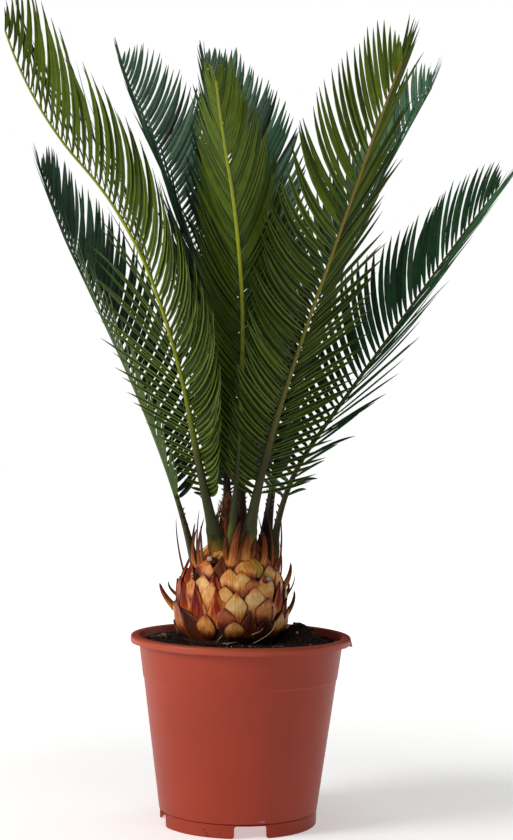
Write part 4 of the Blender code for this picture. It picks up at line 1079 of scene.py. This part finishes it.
# leaflet k of n starts at share t = k/n (crowd + (1 - crowd) k/n) of the leafy length and follows
# base + L (v first + v^2 / 2 (last - first)); its section is W(v) / 2 wide, turned about its own
# axis by the louvre
def leafletRow(frond, hand, draw):
    count = int(frond["length"] * (1 - frond["start"]) / sided(frond["apart"], hand))
    k = (np.arange(count) + draw.uniform(-0.16, 0.16, count)).clip(0, count - 1) / (count - 1)
    t = k * (frond["crowd"] + (1 - frond["crowd"]) * k)
    place = frond["start"] + (1 - frond["start"]) * t
    base, ahead, side, face = (pick(v, place) for v in ribLine(frond))
    own = {key: evenly(t, sided(frond[key], hand))
           for key in ("root", "tip", "vee", "reach", "louvre", "thin")}
    spread = leaflet["spread"]
    # neighbours lean together in small sprays, and the whole row wanders a little
    order = np.arange(count)
    group = np.floor(order / leaflet["clump"] + 0.8 * softNoise(stacked(order * 0.31, 0, 0), 1.0, hand + 3))
    within = order - np.array([order[group == g].mean() for g in group])
    wander = softNoise(stacked(order * 0.13, 0, 0), 1.0, int(draw.integers(1000))) * leaflet["wander"]
    root = own["root"] + wander + draw.normal(0, spread["root"], count)
    tip = own["tip"] + wander * 1.4 + within * 1.0 + draw.normal(0, spread["tip"], count)
    vee = own["vee"] + draw.normal(0, spread["vee"], count) + within * 0.6
    end = vee + frond["curl"] + draw.normal(0, spread["curl"], count)
    odd = draw.uniform(0, 1, count) < leaflet["odd"]
    end = end + odd * draw.uniform(-leaflet["stray"], leaflet["stray"], count)
    root, tip, vee, end = (np.radians(v)[:, None] for v in (root, tip, vee, end))
    first = np.cos(root) * ahead + np.sin(root) * (hand * side * np.cos(vee) + face * np.sin(vee))
    last = np.cos(tip) * ahead + np.sin(tip) * (hand * side * np.cos(end) + face * np.sin(end))
    length = leafLength(frond, t) * own["reach"] * draw.uniform(0.955, 1.01, count)
    length = length * np.where(draw.uniform(0, 1, count) < leaflet["short"], 0.8, 1)
    base = base + (hand * side * 0.72 + face * 0.35) * ribRadius(frond, place)[:, None]
    louvre = np.radians(own["louvre"] + draw.normal(0, spread["louvre"], count))[:, None, None]
    twist = np.radians(draw.normal(0, spread["twist"], count))[:, None, None]
    sway = draw.normal(0, leaflet["sway"], count)[:, None, None]
    wide = frond["wide"] * np.interp(t, [0, 0.15, 0.5, 1], [0.90, 1.0, 1.0, 0.58])
    wide = wide * draw.uniform(0.92, 1.06, count) * own["thin"]
    v, shape = (np.array(leaflet[key])[None, :, None] for key in ("stations", "shape"))
    section = np.array(leaflet["section"])[None, None]
    along = unit(first[:, None] + v * (last - first)[:, None])
    across = squared(squared(ahead, first)[:, None], along)
    normal = hand * np.cross(across, along)
    cos, sin = np.cos(louvre + twist * v), np.sin(louvre + twist * v)
    across, normal = across * cos + normal * sin, normal * cos - across * sin
    half = (wide[:, None, None] / 2 * shape)[..., None]
    outline = half * (section[..., :1] * across[:, :, None] + section[..., 1:] * normal[:, :, None])
    # a leaflet that would pass the solids' box is shortened
    low, high = np.array(cadBox[0]) + 0.0002, np.array(cadBox[1]) - 0.0002
    for _ in range(12):
        reach = length[:, None, None]
        centre = base[:, None] + reach * (v * first[:, None] + v * v / 2 * (last - first)[:, None])
        centre = centre + normal * reach * sway * v * v
        rings = centre[:, :, None] + outline
        outside = ((rings < low) | (rings > high)).any((1, 2, 3))
        if not outside.any():
            break
        length = np.where(outside, length * 0.97, length)
    # slots: three upper greens, three under greens, from dark low down on the frond to light at its end,
    # partly a deeper green near the base and partly painted shade on the lower leaflets, then two rolled
    # edges and the brown tip
    stations, sides = rings.shape[1:3]
    upper = np.searchsorted([0.38, 0.72], t + draw.normal(0, 0.17, count))
    edge = 6 + draw.choice(2, count)
    slots = np.repeat(np.stack([upper, upper, upper, edge, 3 + upper, edge], -1)[:, None], stations - 1, 1)
    tipped = draw.uniform(0, 1, count) < 0.55
    slots[tipped, -1] = 8
    uv = stacked(section[..., 0] * half[..., 0], reach * v)
    return part(rings, tubeFaces(stations, sides, count), [slots.ravel(), 8, 8], uv)


# leathery leaflets: waxy and glossy above, paler and duller below. The plain colours are dealt
# out leaflet by leaflet; only a faint mottle of 8 mm runs over them.
leafLooks = {
    "warm": dict(upper=("#0E1604", "#1A2808", "#283C0A"), under=("#192204", "#2B3A08", "#44540C"),
                 edge=("#3C4C0E", "#50601A"), tip="#332C14"),
    "deep": dict(upper=("#142818", "#1C3622", "#26442C"), under=("#4A501C", "#545C24", "#525C2A"),
                 edge=("#2E4A28", "#3C5838"), tip="#2C2A18"),
    # painted light: the deep look's upper greens and edges made lighter, for the less lit right frond
    "dim": dict(upper=("#1A361E", "#264A2C", "#345A38"), under=("#263E16", "#365420", "#466628"),
                edge=("#3E5E34", "#4E6C44"), tip="#4A3A20"),
    # painted light: the cool look made lighter, for the back-left frond, which the front-left frond shades
    "mist": dict(upper=("#243A2A", "#40604A", "#567A5E"), under=("#22361A", "#3A5830", "#4E703E"),
                 edge=("#486A50", "#628466"), tip="#3A4030"),
    "cool": dict(upper=("#18281C", "#2E4C36", "#43664A"), under=("#1A2C12", "#304C26", "#426032"),
                 edge=("#3E5C44", "#567458"), tip="#2E3426"),
}


def leafPaints(name, look):
    colours = [("Upper", c, 0.42, 0.10) for c in look["upper"]]
    colours += [("Under", c, 0.58, 0.0) for c in look["under"]]
    colours += [("Edge", c, 0.50, 0.0) for c in look["edge"]] + [("Tip", look["tip"], 0.7, 0.0)]
    paints = []
    for k, (word, colour, rough, coat) in enumerate(colours):
        paint, tree, shader = newPaint("%sCycadLeaf%s%d" % (name, word, k), {
            "Roughness": rough, "Coat Weight": coat, "Coat Roughness": 0.3,
            "Specular IOR Level": 0.18 if coat else 0.08})
        place = node(tree, "TexCoord").outputs["Object"]
        mottle = node(tree, "TexNoise", {"Vector": place, "Scale": 120.0, "Detail": 2.0})
        stops = [(0.35, linear(colour, 0.88)), (0.65, linear(colour, 1.12))]
        feed(shader, {"Base Color": node(tree, "ValToRGB", (mottle,), stops)})
        paints.append(paint)
    return paints


# rib: satin green skin that runs from the yellow foot through dark green and a brown tinge at
# the first leaflets to the yellow-green of the leafy part, by its share of the length
ribPlaces = (0.0, 0.008, 0.026, 0.09, 0.16, 0.27, 0.55, 1.0)
ribLooks = {
    "fresh": ("#5A5E1E", "#4E5A1E", "#343F18", "#303A18", "#3C3E16", "#6C7414", "#929A18", "#848A1C"),
    "warm": ("#A87426", "#86701E", "#343A18", "#303618", "#3C3E16", "#6C7414", "#929A18", "#848A1C"),
    "deep": ("#7E4E28", "#4A4A20", "#343618", "#36381C", "#363016", "#3A4A1A", "#4A5A1C", "#485A22"),
    "tan": ("#A87426", "#866C1E", "#3C4020", "#3E4022", "#3E3618", "#5E5A1C", "#7A7220", "#7A5C22"),
    "pale": ("#7E4E28", "#5A4C28", "#4A4020", "#48462A", "#56642A", "#5E6E30", "#3A4E22", "#384A22"),
    # painted light: the deep stalk with a lighter end, for the less lit right frond
    "dim": ("#7E4E28", "#4A4A20", "#343618", "#36381C", "#363016", "#3A4A1A", "#4A5A1C", "#4E5E24"),
    "cool": ("#5A2A16", "#351C10", "#2A180E", "#2A2414", "#34301A", "#3E4E20", "#4A5A26", "#3E5628"),
}


def ribPaints(name, colours):
    paint, tree, shader = newPaint(name + "FrondStalk", {"Roughness": 0.5, "Specular IOR Level": 0.16})
    share = node(tree, "SeparateXYZ", (node(tree, "UVMap", uv_map="pieceMap"),)).outputs["Y"]
    place = node(tree, "TexCoord").outputs["Object"]
    mottle = node(tree, "TexNoise", {"Vector": place, "Scale": 260.0, "Detail": 3.0})
    moved = node(tree, "Math", (mottle, 0.03, -0.015), operation="MULTIPLY_ADD")
    along = node(tree, "Math", (share, moved), operation="ADD")
    colour = node(tree, "ValToRGB", (along,), list(zip(ribPlaces, colours)))
    shade = node(tree, "Mix", {0: 0.35, 6: colour, 7: mottle.outputs["Fac"]}, data_type="RGBA",
                 blend_type="MULTIPLY")
    feed(shader, {"Base Color": shade})
    spine = newPaint(name + "StalkSpine", {"Base Color": "#4A3020", "Roughness": 0.55})[0]
    return [paint, spine]


def buildFronds():
    leafSets = {name: leafPaints(name, look) for name, look in leafLooks.items()}
    ribSets = {name: ribPaints(name, colours) for name, colours in ribLooks.items()}
    for number, (name, own) in enumerate(fronds.items()):
        frond = {**frondCommon, "ribLook": own["look"], **own}
        draw = np.random.default_rng(100 + number)
        buildRib(name, frond, ribSets[frond["ribLook"]])
        rows = [leafletRow(frond, hand, draw) for hand in (1, -1)]
        made = addPiece("leaflets_" + name, join(rows), leafSets[frond["look"]], sharp=70)
        settle(made, ["leaves_%s_a" % name, "leaves_%s_b" % name])
        print("frond", name, len(made.data.polygons), "faces")


buildStage()
buildPot()
buildSoil()
buildTrunk()
buildBud()
buildFronds()
